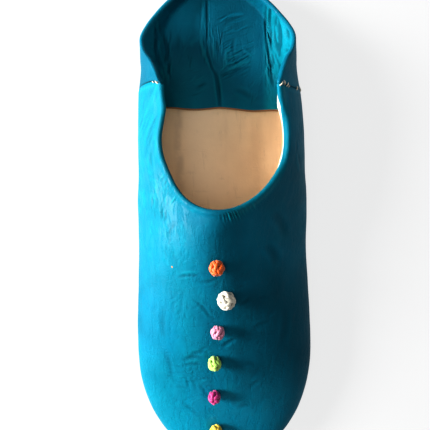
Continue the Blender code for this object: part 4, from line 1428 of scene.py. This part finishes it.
def tube(path, radius, sides):
    """Points and faces of a tube with closed ends along a path."""
    path = np.asarray(path, float)
    ahead = unit(np.gradient(path, axis=0))
    up = np.array([0.0, 0.0, 1.0]) if abs(ahead[:, 2]).mean() < 0.8 else np.array([1.0, 0.0, 0.0])
    side = unit(np.cross(ahead, up))
    out = np.cross(side, ahead)
    angles = (math.tau * np.arange(sides) / sides)[None, :, None]
    ring = np.cos(angles) * side[:, None] + np.sin(angles) * out[:, None]
    thick = np.asarray(radius, float) * np.ones(len(path))
    verts = (path[:, None] + ring * thick[:, None, None]).reshape(-1, 3)
    faces = []
    for i in range(len(path) - 1):
        for k in range(sides):
            a, b = i * sides + k, i * sides + (k + 1) % sides
            faces.append((a, b, b + sides, a + sides))
    faces.append(tuple(range(sides))[::-1])
    faces.append(tuple(range((len(path) - 1) * sides, len(path) * sides)))
    return verts, faces


class SLIPPER_OT_stitches(bpy.types.Operator):
    """Cream thread over the side seams"""

    bl_idname = "slipper.stitches"
    bl_label = "Seam stitches"

    POINTS = 11
    SIDES = 8

    def execute(self, context):
        last, _ = sizes_and_colours(context)
        verts, faces = [], []
        t = np.linspace(0, 1, self.POINTS)
        for stitch in STITCHES:
            turn = math.radians(stitch.turn) + np.radians(stitch.slant * 3) * (t - 0.5)
            y = last.seam_y - stitch.toeward * MM + (stitch.toeward + stitch.heelward) * MM * t
            rise = last.wing_rise
            plain = np.stack([last.seam_width * np.sin(turn), last.bulge + rise * np.cos(turn)], -1)
            facing = unit(np.stack([np.sin(turn) / last.seam_width, np.cos(turn) / rise], -1))
            stand = ((-0.35 + 1.35 * np.sin(math.pi * t) ** 0.6) * stitch.thick + stitch.proud) * MM
            plain = plain + facing * stand[:, None]
            x = stitch.side * plain[:, 0]
            x = x + last.lean_in(x, np.minimum(y, last.seam_y))
            y = y + last.seam_slip(x, y)
            path = last.waist(np.stack([x, y, plain[:, 1]], -1))
            radius = stitch.thick * MM * np.sin(math.pi * np.clip(t, 0.12, 0.88)) ** 0.35
            points, sides = tube(path, radius, self.SIDES)
            faces += [tuple(len(verts) + i for i in face) for face in sides]
            verts += list(points)
        finish = thread_finish("cream_thread", *CREAM_THREAD)
        made = link_mesh("seam_stitches", verts, faces, (finish,))
        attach(made, "root")
        return {"FINISHED"}


class SLIPPER_OT_balls(bpy.types.Operator):
    """Balls of knotted thread along the ridge"""

    bl_idname = "slipper.balls"
    bl_label = "Thread balls"

    SIDES = 8
    STEPS = 260
    POLE = math.radians(64.0)
    OVER = 0.30 * MM
    FLATNESS = 1.15
    CORE_DEPTH = 1.125

    def knot(self, ball, radius):
        """Tube that runs round the ball as one endless knot, over and under itself."""
        turns = np.linspace(0, math.tau * ball.leads, self.STEPS, endpoint=False)
        wave = turns * ball.bights / ball.leads
        latitude = self.POLE * np.sin(wave)
        weave = np.sin(2 * wave) if ball.leads == 3 else np.cos(3 * wave)
        thread = ball.thread * MM / 2
        reach = radius - thread - self.OVER + self.OVER * weave
        path = np.stack([np.cos(latitude) * np.cos(turns), np.cos(latitude) * np.sin(turns),
                         np.sin(latitude)], -1) * reach[:, None]
        ahead = unit(np.roll(path, -1, 0) - np.roll(path, 1, 0))
        out = unit(path - ahead * (path * ahead).sum(-1, keepdims=True))
        side = np.cross(ahead, out)
        verts = []
        depth = []
        for i in range(self.STEPS):
            for k in range(self.SIDES):
                angle = math.tau * k / self.SIDES
                spread = self.FLATNESS * math.cos(angle) * side[i] + math.sin(angle) * out[i]
                verts.append(path[i] + thread * spread)
                # Painted shade on the strand's inner side and where it dips under
                depth.append(max(0.0, -math.sin(angle)) * 0.6 + 0.5 * (1 - weave[i]) / 2)
        faces = []
        for i in range(self.STEPS):
            for k in range(self.SIDES):
                a, b = i * self.SIDES, (i + 1) % self.STEPS * self.SIDES
                faces.append((a + k, a + (k + 1) % self.SIDES, b + (k + 1) % self.SIDES, b + k))
        return verts, faces, depth

    def execute(self, context):
        last, _ = sizes_and_colours(context)
        for ball in BALLS:
            low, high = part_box(ball.node)
            size = high - low
            centre = (low + high) / 2
            radius = max(size) / 2
            verts, faces, depth = self.knot(ball, radius)
            finish = thread_finish(ball.slot, ball.colour, ball.highlight)
            core = bmesh.new()
            inner = radius - self.CORE_DEPTH * ball.thread * MM
            bmesh.ops.create_icosphere(core, subdivisions=3, radius=inner)
            start = len(verts)
            verts += [np.array(v.co) for v in core.verts]
            faces += [tuple(start + v.index for v in f.verts) for f in core.faces]
            # The core lies wholly in painted shade
            depth += [1.0] * len(core.verts)
            core.free()
            name = ball.node.replace("pompom", "knot")
            made = link_mesh(name, verts, faces, (finish,), values={"depth": depth})
            turn = Euler([math.radians(a) for a in ball.turn]).to_matrix().to_4x4()
            stretch = Matrix.Diagonal((*(s / (2 * radius) for s in size), 1.0))
            made.data.transform(Matrix.Translation(centre) @ stretch @ turn)
            made.data.update()
            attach(made, "root")
            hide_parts(ball.node)
        return {"FINISHED"}


OPERATORS = (SLIPPER_OT_stage, SLIPPER_OT_vamp, SLIPPER_OT_heel, SLIPPER_OT_soles, SLIPPER_OT_stitches,
             SLIPPER_OT_balls)


class SLIPPER_PT_panel(bpy.types.Panel):
    """Lists the slipper's pieces and their sizes"""

    bl_label = "Babouche Slipper"
    bl_idname = "SLIPPER_PT_panel"
    bl_space_type = "VIEW_3D"
    bl_region_type = "UI"
    bl_category = "Slipper"

    def draw(self, context):
        for group in (context.scene.slipper_sizes, context.scene.slipper_colours):
            for name in group.__annotations__:
                self.layout.prop(group, name)
        for operator in OPERATORS:
            self.layout.operator(operator.bl_idname)


CLASSES = (SlipperSizes, SlipperColours, *OPERATORS, SLIPPER_PT_panel)


def register():
    for cls in CLASSES:
        bpy.utils.register_class(cls)
    bpy.types.Scene.slipper_sizes = bpy.props.PointerProperty(type=SlipperSizes)
    bpy.types.Scene.slipper_colours = bpy.props.PointerProperty(type=SlipperColours)


def unregister():
    del bpy.types.Scene.slipper_colours
    del bpy.types.Scene.slipper_sizes
    for cls in reversed(CLASSES):
        bpy.utils.unregister_class(cls)


def main():
    register()
    bpy.ops.slipper.stage()
    bpy.ops.slipper.vamp()
    bpy.ops.slipper.heel()
    bpy.ops.slipper.soles()
    bpy.ops.slipper.stitches()
    bpy.ops.slipper.balls()


if __name__ == "__main__":
    main()
